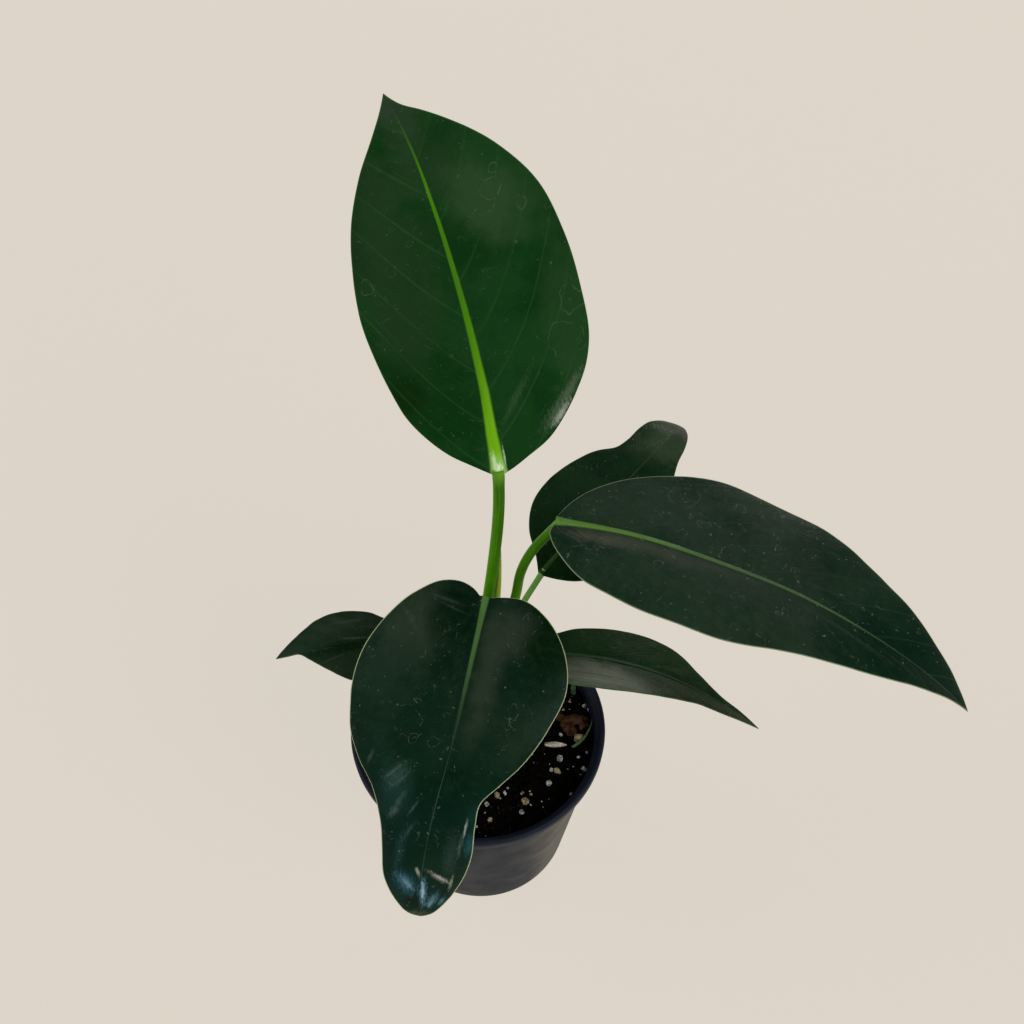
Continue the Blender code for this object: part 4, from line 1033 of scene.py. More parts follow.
def closed_mesh(name, points, faces, face_slots=None, crease=None):
    """Mesh of a closed form, each face with its material slot if slots are given."""
    data = bpy.data.meshes.new(name)
    data.from_pydata([tuple(point) for point in points], [], faces)
    if face_slots is not None:
        data.polygons.foreach_set("material_index", face_slots)
    work = bmesh.new()
    work.from_mesh(data)
    return finished_mesh(work, data, crease)


def add_amounts(data, **amounts):
    """Store numbers or vectors by name at each point, for materials and trees to read."""
    for name, values in amounts.items():
        values = np.asarray(values, dtype=np.float32)
        kind, field = ("FLOAT", "value") if values.ndim == 1 else ("FLOAT_VECTOR", "vector")
        data.attributes.new(name, kind, "POINT").data.foreach_set(field, values.ravel())


def dress(piece, slot, *nodes):
    """The piece rides on the plant's one body and stands for the nodes, if any are given."""
    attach(piece, "root")
    if nodes:
        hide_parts(*nodes)
    return piece


def around(count, start=0.0):
    """Evenly spaced turns of one whole circle, the first of them start steps on."""
    return [2 * math.pi * (step + start) / count for step in range(count)]


def rod_faces(rings, sides):
    """Faces of a rod whose points run ring by ring: the quads between rings and a cap at each end."""
    faces = [tuple(reversed(range(sides)))]
    for ring in range(rings - 1):
        for step in range(sides):
            near = ring * sides + step
            after = ring * sides + (step + 1) % sides
            faces.append((near, after, after + sides, near + sides))
    last = (rings - 1) * sides
    faces.append(tuple(range(last, last + sides)))
    return faces


def turned_faces(rings, sides):
    """Faces of a form about Z: its first two points are its poles, the others run ring by ring."""
    faces = []
    last = 2 + (rings - 1) * sides
    for step in range(sides):
        after = (step + 1) % sides
        faces.append((0, 2 + after, 2 + step))
        faces.append((1, last + step, last + after))
        for ring in range(rings - 1):
            near = 2 + ring * sides
            far = near + sides
            faces.append((near + step, near + after, far + after, far + step))
    return faces


# Leaves and stalks


class LeafSurface:
    """The bent middle surface of a blade, as places along and out from its midrib in millimetres."""

    def __init__(self, leaf):
        self.leaf = leaf
        self.curve = smooth_path(leaf["midrib"], 200)
        self.run = run_along(self.curve)
        self.length = self.run[-1]
        self.heading = unit(np.gradient(self.curve, self.run, axis=0))
        self.reach = max(out for side in ("left", "right") for _, out in leaf[side])
        self.socket = leaf["left"][0][1]

    def on_midrib(self, values, along):
        return np.stack([np.interp(along, self.run, column) for column in values.T], axis=-1)

    def frame(self, along):
        held = np.clip(along, 0, self.length)
        ahead = unit(self.on_midrib(self.heading, held))
        centre = self.on_midrib(self.curve, held) + ahead * (along - held)[..., None]
        facing = np.array(self.leaf["facing"], dtype=float)
        face = unit(facing - (ahead @ facing)[..., None] * ahead)
        return centre, np.cross(ahead, face), face

    def place(self, along, out):
        """Points of the middle surface and their face normals; out is negative on the left."""
        centre, right, face = self.frame(along)
        share = np.clip(along / self.length, 0, 1)
        slope = np.radians(spread(self.leaf["fold"], share))
        fall = -np.radians(spread(self.leaf["droop"], share)) / 10
        reach = np.abs(out)
        end_slope = slope + fall * reach
        sideways = (np.sin(end_slope) - np.sin(slope)) / fall
        rise = (np.cos(slope) - np.cos(end_slope)) / fall
        height, waves, phase = self.leaf["wave"]
        rise = rise + height * (reach / self.reach) ** 2 * np.sin(2 * math.pi * waves * share + phase)
        side = np.sign(out)
        points = centre + right * (side * sideways)[..., None] + face * rise[..., None]
        normals = face * np.cos(end_slope)[..., None] - right * (side * np.sin(end_slope))[..., None]
        return points, normals

    def rib_width(self, along):
        return self.socket * (1 - RIB_TAPER * np.clip(along / self.length, 0, 1))

    def half_grid(self, side, station):
        """One half of the grid, from the midrib outwards."""
        edge = smooth_path(self.leaf[side], BLADE_ROWS + 1)
        edge[:, 0] *= self.length / self.leaf[side][-1][0]
        rib = np.minimum(self.rib_width(station), 0.5 * edge[:, 1])
        inner = np.linspace(0, 1, RIB_COLUMNS + 1)
        outer = np.linspace(0, 1, LAMINA_COLUMNS + 1)[1:]
        lamina = rib[:, None] + (edge[:, 1] - rib)[:, None] * outer
        out = np.concatenate([rib[:, None] * inner, lamina], axis=1)
        lead = np.concatenate([np.zeros(RIB_COLUMNS + 1), outer])
        along = station[:, None] + (edge[:, 0] - station)[:, None] * lead
        slant = np.hypot(edge[:, 1] - rib, edge[:, 0] - station)[:, None]
        margin = np.minimum(slant * (1 - lead), np.abs(self.length - along) + 2)
        return along, out, margin

    def grid(self):
        """Rows from base to tip, columns from left edge to right: along, out and distance to the edge."""
        station = self.length * np.linspace(0, 1, BLADE_ROWS + 1) ** VEIN_LAG
        along, out, margin = self.half_grid("left", station)
        left = (along, -out, margin)
        right = self.half_grid("right", station)
        return [np.concatenate([one[:, :0:-1], other], axis=1) for one, other in zip(left, right)]

    def vein_number(self, along, out):
        """Whole at each side vein, which leaves the midrib at a slant and curves towards the tip."""
        reach = np.abs(out)
        slant, curl = self.leaf["vein_lead"]
        start = along - reach * (slant + curl * reach / self.reach)
        return start / self.leaf["vein_gap"] + np.where(out < 0, 0.0, VEIN_SHIFT)

    def from_crest(self, along, out):
        """Distance from the crest of the midrib, which may lean to one side of the blade's middle."""
        lean = spread(self.leaf.get("lean", (0.0, 0.0)), np.clip(along / self.length, 0, 1))
        return np.abs(out - lean)


def blade_sections(surface, along, out, margin):
    """How far the face and the back stand off the middle surface, in millimetres."""
    share = np.clip(along / surface.length, 0, 1)
    half = MARGIN_HALF + (BLADE_HALF - MARGIN_HALF) * np.clip(margin / MARGIN_WIDTH, 0, 1)
    rib = surface.rib_width(along)
    round_part = np.sqrt(1 - np.clip(np.abs(out) / rib, 0, 1) ** 2)
    crest_part = 1 - np.clip(surface.from_crest(along, out) / rib, 0, 1) ** 2
    plug = np.exp(-np.clip(along, 0, None) / SOCKET_BLEND) * (surface.socket - half)
    crest = CREST_HEIGHT * (1 - share) ** 1.2
    keel = KEEL_DEPTH * (surface.socket / USUAL_SOCKET) * (1 - share)
    face = half + np.maximum(round_part * plug, crest * crest_part)
    back = half + round_part * np.maximum(plug, keel)
    return face, back


def blade_relief(leaf, along, out, vein, seed):
    """Sunken side veins, swellings between them, slow waves and creases, in millimetres."""
    away = np.clip((np.abs(out) - RELIEF_START) / RELIEF_BLEND, 0, 1)
    distance = np.abs(vein - np.round(vein)) * leaf["vein_gap"]
    channel = np.exp(-((distance / VEIN_WIDTH) ** 2))
    sunk = -leaf["sunk"] * (channel + 0.8 * np.cos(2 * math.pi * vein))
    spots = np.stack([along.ravel(), out.ravel(), np.zeros(along.size)], axis=1)
    slow = noise_over(spots, SLOW_WAVE, seed).reshape(along.shape)
    fine = noise_over(spots, FINE_WAVE, seed + 3).reshape(along.shape)
    relief = away * (sunk + leaf["swell"] * slow + FINE_WAVE_HEIGHT * fine)
    for at_along, at_out, length, width, height, turn in leaf.get("creases", ()):
        ahead = along - at_along
        aside = out - at_out
        lengthwise = ahead * math.cos(turn) + aside * math.sin(turn)
        crosswise = aside * math.cos(turn) - ahead * math.sin(turn)
        relief = relief + height * np.exp(-((lengthwise / length) ** 2) - (crosswise / width) ** 2)
    return relief


def blade_faces(rows, columns):
    """Faces of both sheets and the rim, each with its material slot; the two last points are the tip."""
    under = rows * columns
    tip_upper = 2 * under
    tip_lower = tip_upper + 1
    faces = []
    slots = []
    for row in range(rows):
        for column in range(columns - 1):
            near = row * columns + column
            if row == rows - 1:
                faces.append((near, near + 1, tip_upper))
                faces.append((under + near, tip_lower, under + near + 1))
            else:
                far = near + columns
                faces.append((near, near + 1, far + 1, far))
                faces.append((under + near, under + far, under + far + 1, under + near + 1))
            slots += [0, 1]
    for row in range(rows):
        for column in (0, columns - 1):
            near = row * columns + column
            if row == rows - 1:
                faces.append((near, tip_upper, tip_lower, under + near))
            else:
                faces.append((near, near + columns, under + near + columns, under + near))
            slots.append(1)
    faces.append((*range(columns), *range(under + columns - 1, under - 1, -1)))
    slots.append(1)
    return faces, slots


def blade(name, seed, face_material, under_material):
    """Thin closed blade with a midrib that swells to a round socket at the stalk's end."""
    leaf = LEAVES[name]
    surface = LeafSurface(leaf)
    along, out, margin = surface.grid()
    vein = surface.vein_number(along, out)
    middle, normals = surface.place(along, out)
    face, back = blade_sections(surface, along, out, margin)
    relief = blade_relief(leaf, along, out, vein, seed)
    upper = middle + normals * (face + relief)[..., None]
    lower = middle - normals * (back - relief)[..., None]
    rows, columns = along.shape
    rows -= 1
    centre = columns // 2
    sheets = [upper[:rows].reshape(-1, 3), lower[:rows].reshape(-1, 3)]
    points = np.concatenate([*sheets, [upper[rows, centre], lower[rows, centre]]])
    data = closed_mesh("leaf_" + name, points * MM, *blade_faces(rows, columns), 60)

    def both(values, at_tip=0.0):
        values = values[:rows].ravel()
        return np.concatenate([values, values, [at_tip, at_tip]])

    share = along / surface.length
    held = np.clip(share, 0, 1)
    heel = np.exp(-held / 0.09)
    half_rib = leaf["rib"] * (0.62 * (1 - held) + 0.38 * heel) + RIB_SKIN_LEAST
    from_crest = surface.from_crest(along, out)
    flat = [both(out) + PATTERN_GAP * seed, both(along, surface.length), np.zeros(len(points))]
    add_amounts(
        data,
        place=np.stack(flat, axis=1) * MM,
        share=both(share, 1.0),
        out=both(out) * MM,
        margin=both(margin) * MM,
        vein=both(vein, vein[rows, centre]),
        rib=both(from_crest / half_rib),
        crest=both(from_crest) * MM,
    )
    piece = new_piece("leaf_" + name, data, [face_material, under_material])
    return dress(piece, "leaf_green_bright" if leaf["look"] == "fresh" else "leaf_green", "blade_" + name)


def sweep(path, radii, sides, section=None, first_heading=None, last_heading=None):
    """Points, faces and places (turn, along) of a rod along a path; section shapes each ring."""
    path = np.array(path, dtype=float)
    headings = unit(np.gradient(path, axis=0))
    if first_heading is not None:
        headings[0] = first_heading
    if last_heading is not None:
        headings[-1] = last_heading
    run = run_along(path)
    across = np.cross(headings[0], (0.3, 1, 0.1))
    points = []
    places = []
    for at, centre, heading, radius in zip(run, path, headings, radii):
        across = unit(across - np.dot(across, heading) * heading)
        up = np.cross(heading, across)
        for turn in around(sides):
            size = radius if section is None else radius * section(turn, at / run[-1])
            points.append(centre + size * (math.cos(turn) * across + math.sin(turn) * up))
            places.append((math.sin(turn), at * MM, math.cos(turn)))
    return np.array(points), rod_faces(len(path), sides), places


def foot_place(foot):
    """Point on the crown and the heading out of it, in millimetres."""
    kind, azimuth, measure = foot
    turn = math.radians(azimuth)
    outward = np.array([math.cos(turn), math.sin(turn), 0])
    axis = np.array([*CROWN_CENTRE, 0]) / MM
    if kind == "top":
        return axis + outward * measure + (0, 0, CROWN_TOP / MM - 2), (0, 0, 1)
    return axis + outward * (CROWN_RADIUS / MM - 1.5) + (0, 0, measure), outward


def grooved(turn, along):
    """A shallow groove down one side, which runs out towards the top."""
    off = math.remainder(turn - GROOVE_TURN, 2 * math.pi) / GROOVE_HALF
    return 1 - GROOVE_DEPTH * math.exp(-(off**2)) * (1 - along)


def rolled(turn, along):
    """One loose edge that winds round as a ledge."""
    return 0.9 + 0.16 * ((turn / (2 * math.pi) + 0.35 * along) % 1.0)


def stalk(name, material):
    """Round stalk that clasps the crown with its foot and runs on into its blade's midrib."""
    spec = STALKS[name]
    surface = LeafSurface(LEAVES[name])
    heading = surface.heading[0]
    start, first_heading = foot_place(spec["foot"])
    end = surface.curve[0] + heading * 3
    path = smooth_path([start, *spec["path"], end], STALK_RINGS)
    share = np.linspace(0, 1, STALK_RINGS)
    foot, top = spec["radius"]
    clasp = 1 + 0.35 * np.exp(-18 * share)
    joint = 1 + 0.06 * np.exp(-(((share - 0.97) / 0.02) ** 2))
    radii = (top + (foot - top) * np.exp(-2 * share) * (1 - share)) * clasp * joint
    points, faces, places = sweep(path, radii, STALK_SIDES, grooved, first_heading, heading)
    data = closed_mesh("stalk_of_" + name, points * MM, faces, crease=60)
    add_amounts(data, place=places, share=np.repeat(share, STALK_SIDES))
    return dress(new_piece("stalk_of_" + name, data, [material]), "stalk_green", "stalk_" + name)


def spear(material):
    """Rolled new leaf beside the tall leaf's stalk."""
    start, heading = foot_place(SPEAR["foot"])
    path = smooth_path([start, *SPEAR["path"]], SPEAR_RINGS)
    foot, widest, tip = SPEAR["radius"]
    radii = spread((foot, widest, widest, 0.7 * widest, tip), np.linspace(0, 1, SPEAR_RINGS))
    points, faces, places = sweep(path, radii, SPEAR_SIDES, rolled, heading)
    data = closed_mesh("rolled_leaf", points * MM, faces, crease=60)
    add_amounts(data, place=places)
    return dress(new_piece("rolled_leaf", data, [material]), "stalk_green", "leaf_spear")


# Pot and soil


def turned(name, profile, sides, crease):
    """Solid of revolution about Z; the profile runs from axis to axis as (radius, height)."""
    points = [(0, 0, profile[0][1]), (0, 0, profile[-1][1])]
    rings = profile[1:-1]
    for radius, height in rings:
        points += [(radius * math.cos(turn), radius * math.sin(turn), height) for turn in around(sides)]
    return closed_mesh(name, points, turned_faces(len(rings), sides), crease=crease)


def body_radius(height):
    return BASE_RADIUS + (BODY_TOP_RADIUS - BASE_RADIUS) * height / WALL_TOP


def soil_radius(height):
    return body_radius(height) - WALL - SOIL_GAP


def stepped(radius, height, *moves):
    """Points of a profile, each the given millimetres outwards and upwards from one place."""
    return [(radius + out * MM, height + up * MM) for out, up in moves]


def pot_profile():
    """Foot ring and centre pad, tapered wall, rolled lip, and back down the inside to the floor."""
    foot_inner = BASE_RADIUS - FOOT_WIDTH
    outer_top = body_radius(WALL_TOP)
    inner_top = outer_top - WALL
    outer_heights = [WALL_TOP * share for share in np.linspace(0.05, 0.985, 24)]
    inner_heights = [WALL_TOP * share for share in np.linspace(0.95, 0.05, 12)]
    return [
        (0, 0),
        (CENTRE_PAD_RADIUS, 0),
        (CENTRE_PAD_RADIUS + FOOT_LIFT, FOOT_LIFT),
        (foot_inner - FOOT_LIFT, FOOT_LIFT),
        (foot_inner, 0),
        *stepped(BASE_RADIUS, 0, (-1.0, 0), (-0.45, 0.15), (-0.1, 0.5), (0.05, 1.1)),
        *((body_radius(height), height) for height in outer_heights),
        *stepped(outer_top, WALL_TOP, (0.25, -0.5), (0.9, 0)),
        *stepped(RIM_RADIUS, WALL_TOP, (-1.3, 0.35), (-0.55, 0.8), (-0.25, 1.7)),
        *stepped(RIM_RADIUS, POT_HEIGHT, (-0.05, -3.2), (0, -2.2), (-0.2, -1.2), (-0.7, -0.45), (-1.6, 0),
                 (-2.4, -0.1), (-3.1, -0.55), (-3.5, -1.3)),
        *stepped(inner_top, POT_HEIGHT, (1.5, -2.4), (1.3, -3.4), (0.7, -3.7)),
        *stepped(inner_top, WALL_TOP, (0.6, 2.2), (0.1, 1.6), (-0.05, 0)),
        *((body_radius(height) - WALL, height) for height in inner_heights if height > FLOOR_TOP + 1 * MM),
        (body_radius(FLOOR_TOP) - WALL, FLOOR_TOP),
        (0, FLOOR_TOP),
    ]


def keep_result(piece):
    """Turn the piece's modifiers into its plain mesh."""
    depsgraph = bpy.context.evaluated_depsgraph_get()
    finished = bpy.data.meshes.new_from_object(piece.evaluated_get(depsgraph))
    piece.modifiers.clear()
    piece.data = finished


def drain_cutters():
    cutters = bpy.data.collections.new("drain_cutters")
    bpy.context.scene.collection.children.link(cutters)
    for turn in around(DRAIN_COUNT, 0.5):
        centre = Vector((DRAIN_CIRCLE * math.cos(turn), DRAIN_CIRCLE * math.sin(turn), FLOOR_TOP / 2))
        work = bmesh.new()
        bmesh.ops.create_cone(
            work, cap_ends=True, segments=32, radius1=DRAIN_RADIUS, radius2=DRAIN_RADIUS,
            depth=3 * FLOOR_TOP, matrix=Matrix.Translation(centre),
        )
        shape = bpy.data.meshes.new("drain_cutter")
        work.to_mesh(shape)
        work.free()
        cutters.objects.link(bpy.data.objects.new("drain_cutter", shape))
    return cutters


def pot(material):
    """Moulded nursery pot with its drain holes cut through the floor."""
    data = turned("nursery_pot", pot_profile(), POT_SIDES, POT_CREASE)
    piece = new_piece("nursery_pot", data, [material])
    cutters = drain_cutters()
    cut = piece.modifiers.new("drains", "BOOLEAN")
    cut.operation = "DIFFERENCE"
    cut.operand_type = "COLLECTION"
    cut.collection = cutters
    keep_result(piece)
    for cutter in list(cutters.objects):
        bpy.data.objects.remove(cutter, do_unlink=True)
    bpy.data.collections.remove(cutters)
    piece.data.shade_smooth()
    piece.data.set_sharp_from_angle(angle=math.radians(POT_CREASE))
    return dress(piece, "pot_plastic", "pot")


def soil_height(x, y):
    """Top of the soil: lumps and crumbs, level where it meets the wall and under the litter."""
    here = Vector((x, y, 0))
    lumps = noise.fractal(here / SOIL_LUMP_SIZE, 0.9, 2.1, 3)
    crumbs = noise.fractal(here / SOIL_CRUMB_SIZE, 0.8, 2.1, 3)
    edge = min((soil_radius(SOIL_LEVEL) - math.hypot(x, y)) / LEVEL_EDGE, 1.0)
    level = 1.0
    for rest_x, rest_y, reach in LITTER_RESTS:
        away = math.hypot(x / MM - rest_x, y / MM - rest_y) - reach
        level = min(level, max(away / (LEVEL_EDGE / MM), LEVEL_LEAST))
    return SOIL_LEVEL + (SOIL_RELIEF * lumps + SOIL_CRUMB_RELIEF * crumbs) * max(edge, 0.0) * level


def soil_body(material):
    """The mix in the pot, with an uneven crumbly top."""
    bottom = FLOOR_TOP + SOIL_GAP
    top_radius = soil_radius(SOIL_LEVEL)
    points = [(0, 0, bottom), (0, 0, soil_height(0, 0))]
    rings = [soil_radius(bottom), *(top_radius * ring / SOIL_RINGS for ring in range(SOIL_RINGS, 0, -1))]
    for number, radius in enumerate(rings):
        for turn in around(SOIL_SIDES):
            x = radius * math.cos(turn)
            y = radius * math.sin(turn)
            points.append((x, y, bottom if number == 0 else soil_height(x, y)))
    data = closed_mesh("potting_mix", points, turned_faces(len(rings), SOIL_SIDES), crease=50)
    return dress(new_piece("potting_mix", data, [material]), "soil_mix", "soil")


def soil_top():
    """Open sheet over the soil, that grains are scattered on; it isn't shown."""
    data = bpy.data.meshes.new("soil_top")
    work = bmesh.new()
    reach = soil_radius(SOIL_LEVEL) - SHEET_INSET
    bmesh.ops.create_grid(work, x_segments=SHEET_CELLS, y_segments=SHEET_CELLS, size=reach)
    for corner in work.verts:
        corner.co.z = soil_height(corner.co.x, corner.co.y)
    centre = Vector(CROWN_CENTRE)
    outside = [
        corner for corner in work.verts
        if corner.co.xy.length > reach or (corner.co.xy - centre).length < CROWN_RADIUS
    ]
    bmesh.ops.delete(work, geom=outside, context="VERTS")
    work.to_mesh(data)
    work.free()
    return data


# Geometry Nodes trees


def new_tree(name, inputs):
    """Tree with a geometry input and the named inputs; returns it, its given values and its output."""
    tree = bpy.data.node_groups.new(name, "GeometryNodeTree")
    tree.interface.new_socket("Geometry", in_out="INPUT", socket_type="NodeSocketGeometry")
    for socket_name, kind in inputs.items():
        tree.interface.new_socket(socket_name, in_out="INPUT", socket_type="NodeSocket" + kind)
    tree.interface.new_socket("Geometry", in_out="OUTPUT", socket_type="NodeSocketGeometry")
    given = tree.nodes.new("NodeGroupInput").outputs
    return tree, given, tree.nodes.new("NodeGroupOutput").inputs[0]


def random_between(tree, low, high, seed, kind="FLOAT"):
    first, result = (0, 0) if kind == "FLOAT_VECTOR" else (2, 1)
    inputs = {first: low, first + 1: high, "Seed": seed}
    return add_node(tree, "FunctionNodeRandomValue", inputs, data_type=kind).outputs[result]


def scaled_vector(tree, vector, scale):
    inputs = {0: vector, "Scale": scale}
    return add_node(tree, "ShaderNodeVectorMath", inputs, operation="SCALE").outputs[0]


def worked_out(tree, operation, first, second):
    return add_node(tree, "ShaderNodeMath", {0: first, 1: second}, operation=operation).outputs[0]


def points_on(tree, given):
    inputs = {"Mesh": given["Geometry"], "Density": given["Density"], "Seed": given["Seed"]}
    return add_node(tree, "GeometryNodeDistributePointsOnFaces", inputs).outputs["Points"]


def place_copies(tree, given, output, copies):
    """Make the copies real and give them the material."""
    placed = add_node(tree, "GeometryNodeInstanceOnPoints", copies)
    real = add_node(tree, "GeometryNodeRealizeInstances", {"Geometry": placed.outputs[0]})
    painting = {"Geometry": real.outputs[0], "Material": given["Material"]}
    painted = add_node(tree, "GeometryNodeSetMaterial", painting)
    wire(tree, output, painted.outputs[0])


def lump_shapes(tree, detail, unevenness):
    """Three uneven lumps to pick from, of radius 1."""
    joined = tree.nodes.new("GeometryNodeJoinGeometry")
    for number in range(3):
        ball = add_node(tree, "GeometryNodeMeshIcoSphere", {"Radius": 1.0, "Subdivisions": detail})
        position = add_node(tree, "GeometryNodeInputPosition", {}).outputs[0]
        texture = {"Vector": position, "Scale": 1.7, "Detail": 3.0, "W": 11.0 * number}
        rough = add_node(tree, "ShaderNodeTexNoise", texture, noise_dimensions="4D").outputs[0]
        level = worked_out(tree, "MULTIPLY", worked_out(tree, "SUBTRACT", rough, 0.5), unevenness)
        shift = {"Geometry": ball.outputs[0], "Offset": scaled_vector(tree, position, level)}
        moved = add_node(tree, "GeometryNodeSetPosition", shift)
        smooth = add_node(tree, "GeometryNodeSetShadeSmooth", {"Geometry": moved.outputs[0]})
        single = add_node(tree, "GeometryNodeGeometryToInstance", {"Geometry": smooth.outputs[0]})
        tree.links.new(single.outputs[0], joined.inputs[0])
    return joined.outputs[0]


def place_lumps(tree, given, output, points, size, least, most):
    """Put an uneven lump of the given size at each point, turned at random and stretched a little."""
    shapes = lump_shapes(tree, given["Detail"], given["Unevenness"])
    turn = random_between(tree, (0.0, 0.0, 0.0), (6.28, 6.28, 6.28), given["Seed"], "FLOAT_VECTOR")
    stretch = random_between(tree, least, most, given["Seed"], "FLOAT_VECTOR")
    place_copies(tree, given, output, {
        "Points": points, "Instance": shapes, "Pick Instance": True, "Rotation": turn,
        "Scale": scaled_vector(tree, stretch, size),
    })


def grains_over_surface():
    """Tree that strews uneven lumps over a surface."""
    tree, given, output = new_tree("grains_over_surface", {
        "Density": "Float", "Least radius": "Float", "Most radius": "Float",
        "Unevenness": "Float", "Detail": "Int", "Seed": "Int", "Material": "Material",
    })
    size = random_between(tree, given["Least radius"], given["Most radius"], given["Seed"])
    points = points_on(tree, given)
    place_lumps(tree, given, output, points, size, (0.65, 0.65, 0.65), (1.25, 1.25, 1.25))
    return tree


def grains_at_points():
    """Tree that puts one uneven lump at each point, sized by the point's grain_radius."""
    tree, given, output = new_tree("grains_at_points", {
        "Unevenness": "Float", "Detail": "Int", "Seed": "Int", "Material": "Material",
    })
    radius = add_node(tree, "GeometryNodeInputNamedAttribute", {"Name": "grain_radius"}, data_type="FLOAT")
    size = radius.outputs[0]
    place_lumps(tree, given, output, given["Geometry"], size, (0.8, 0.8, 0.7), (1.2, 1.1, 1.0))
    return tree


def fibre_shape(tree):
    """Short bent rod about the origin."""
    arc = add_node(tree, "GeometryNodeCurveArc", {"Resolution": 6, "Radius": 1.0, "Sweep Angle": 0.9})
    ring = add_node(tree, "GeometryNodeCurvePrimitiveCircle", {"Resolution": 5, "Radius": 0.05})
    curves = {"Curve": arc.outputs[0], "Profile Curve": ring.outputs[0], "Fill Caps": True}
    rod = add_node(tree, "GeometryNodeCurveToMesh", curves)
    centring = {"Geometry": rod.outputs[0], "Translation": (-0.9, -0.43, 0.0)}
    return add_node(tree, "GeometryNodeTransform", centring).outputs[0]


def fibres_over_surface():
    """Tree that lays short bent fibres flat on a surface."""
    tree, given, output = new_tree("fibres_over_surface", {
        "Density": "Float", "Length": "Float", "Thickness": "Float", "Seed": "Int", "Material": "Material",
    })
    turn = random_between(tree, (-0.3, -0.3, 0.0), (0.3, 0.3, 6.28), given["Seed"], "FLOAT_VECTOR")
    length = worked_out(tree, "MULTIPLY", random_between(tree, 0.35, 1.0, given["Seed"]), given["Length"])
    scale = add_node(tree, "ShaderNodeCombineXYZ", {0: length, 1: length, 2: given["Thickness"]})
    place_copies(tree, given, output, {
        "Points": points_on(tree, given), "Instance": fibre_shape(tree), "Rotation": turn,
        "Scale": scale.outputs[0],
    })
    return tree


def grow(name, base_mesh, tree, values):
    """Run the tree on a mesh and keep the result as a plain piece of the soil."""
    piece = new_piece(name, base_mesh.copy(), [])
    modifier = piece.modifiers.new(name, "NODES")
    modifier.node_group = tree
    for item in tree.interface.items_tree:
        if item.in_out == "INPUT" and item.name in values:
            modifier[item.identifier] = values[item.name]
    keep_result(piece)
    piece.data.name = name
    return dress(piece, "soil_mix")


def grain_points(name, grains):
    """Loose points just over the soil, each with the radius of the grain that lies there."""
    data = bpy.data.meshes.new(name)
    places = []
    for x, y, radius in grains:
        places.append((x * MM, y * MM, soil_height(x * MM, y * MM) + GRAIN_LIFT * radius * MM))
    data.from_pydata(places, [], [])
    add_amounts(data, grain_radius=[radius * MM for _, _, radius in grains])
    return data


def hidden_grains(seed, count, least, most):
    """Grains under the leaves and at the back, where the open part's own list doesn't reach."""
    draw = random.Random(seed)
    crown_x, crown_y = (value / MM for value in CROWN_CENTRE)
    grains = []
    while len(grains) < count:
        away = GRAIN_REACH * math.sqrt(draw.random())
        turn = draw.uniform(0, 2 * math.pi)
        x = away * math.cos(turn)
        y = away * math.sin(turn)
        open_part = x > 0 and y < 32 and x - y > 35
        near_crown = math.hypot(x - crown_x, y - crown_y) < CROWN_CLEARANCE
        crowded = any(math.hypot(x - other[0], y - other[1]) < GRAIN_SPACING for other in grains)
        if not (open_part or near_crown or crowded):
            grains.append((x, y, draw.uniform(least, most)))
    return grains


def strew(sheet):
    """Loose top of the soil: crumbs, perlite dust, bark bits, fibres, then the larger perlite grains."""
    dark = (0.0006, 0.0004, 0.0003)
    crumbs = crumbly("earth_crumbs", dark, (0.004, 0.0026, 0.0016), (0.03, 0.016, 0.009))
    bark_bits = crumbly("bark_bits", (0.01, 0.005, 0.003), (0.06, 0.03, 0.016), (0.14, 0.08, 0.04))
    white = perlite("perlite_white", (0.17, 0.17, 0.16), (0.62, 0.63, 0.61), (0.05, 0.04, 0.028))
    tan = perlite("perlite_tan", (0.11, 0.080, 0.035), (0.48, 0.39, 0.23), (0.04, 0.026, 0.013))
    root_fibre = fibrous("root_fibre", (0.006, 0.004, 0.003), (0.04, 0.026, 0.016), 0.9)
    over_surface = grains_over_surface()
    for name, density, least, most, unevenness, detail, seed, material in (
        ("soil_crumbs", 160000.0, 0.45, 1.5, 0.9, 1, 4, crumbs),
        ("soil_coarse", 14000.0, 1.4, 3.0, 0.8, 2, 9, crumbs),
        ("perlite_dust", 5000.0, 0.25, 0.7, 0.8, 1, 21, white),
        ("soil_bark_bits", 9000.0, 0.3, 1.0, 1.2, 1, 31, bark_bits),
    ):
        grow(name, sheet, over_surface, {
            "Density": density, "Least radius": least * MM, "Most radius": most * MM,
            "Unevenness": unevenness, "Detail": detail, "Seed": seed, "Material": material,
        })
    grow("soil_fibres", sheet, fibres_over_surface(), {
        "Density": 12000.0, "Length": 5 * MM, "Thickness": 5 * MM, "Seed": 13, "Material": root_fibre,
    })
    at_points = grains_at_points()
    white_grains = WHITE_GRAINS + hidden_grains(6, 34, 0.7, 2.2)
    tan_grains = TAN_GRAINS + hidden_grains(12, 14, 0.8, 2.2)
    for name, grains, seed, material in (
        ("perlite_white", white_grains, 2, white),
        ("perlite_tan", tan_grains, 7, tan),
    ):
        values = {"Unevenness": 1.7, "Detail": 3, "Seed": seed, "Material": material}
        grow(name + "_grains", grain_points(name + "_points", grains), at_points, values)


# Crown and litter


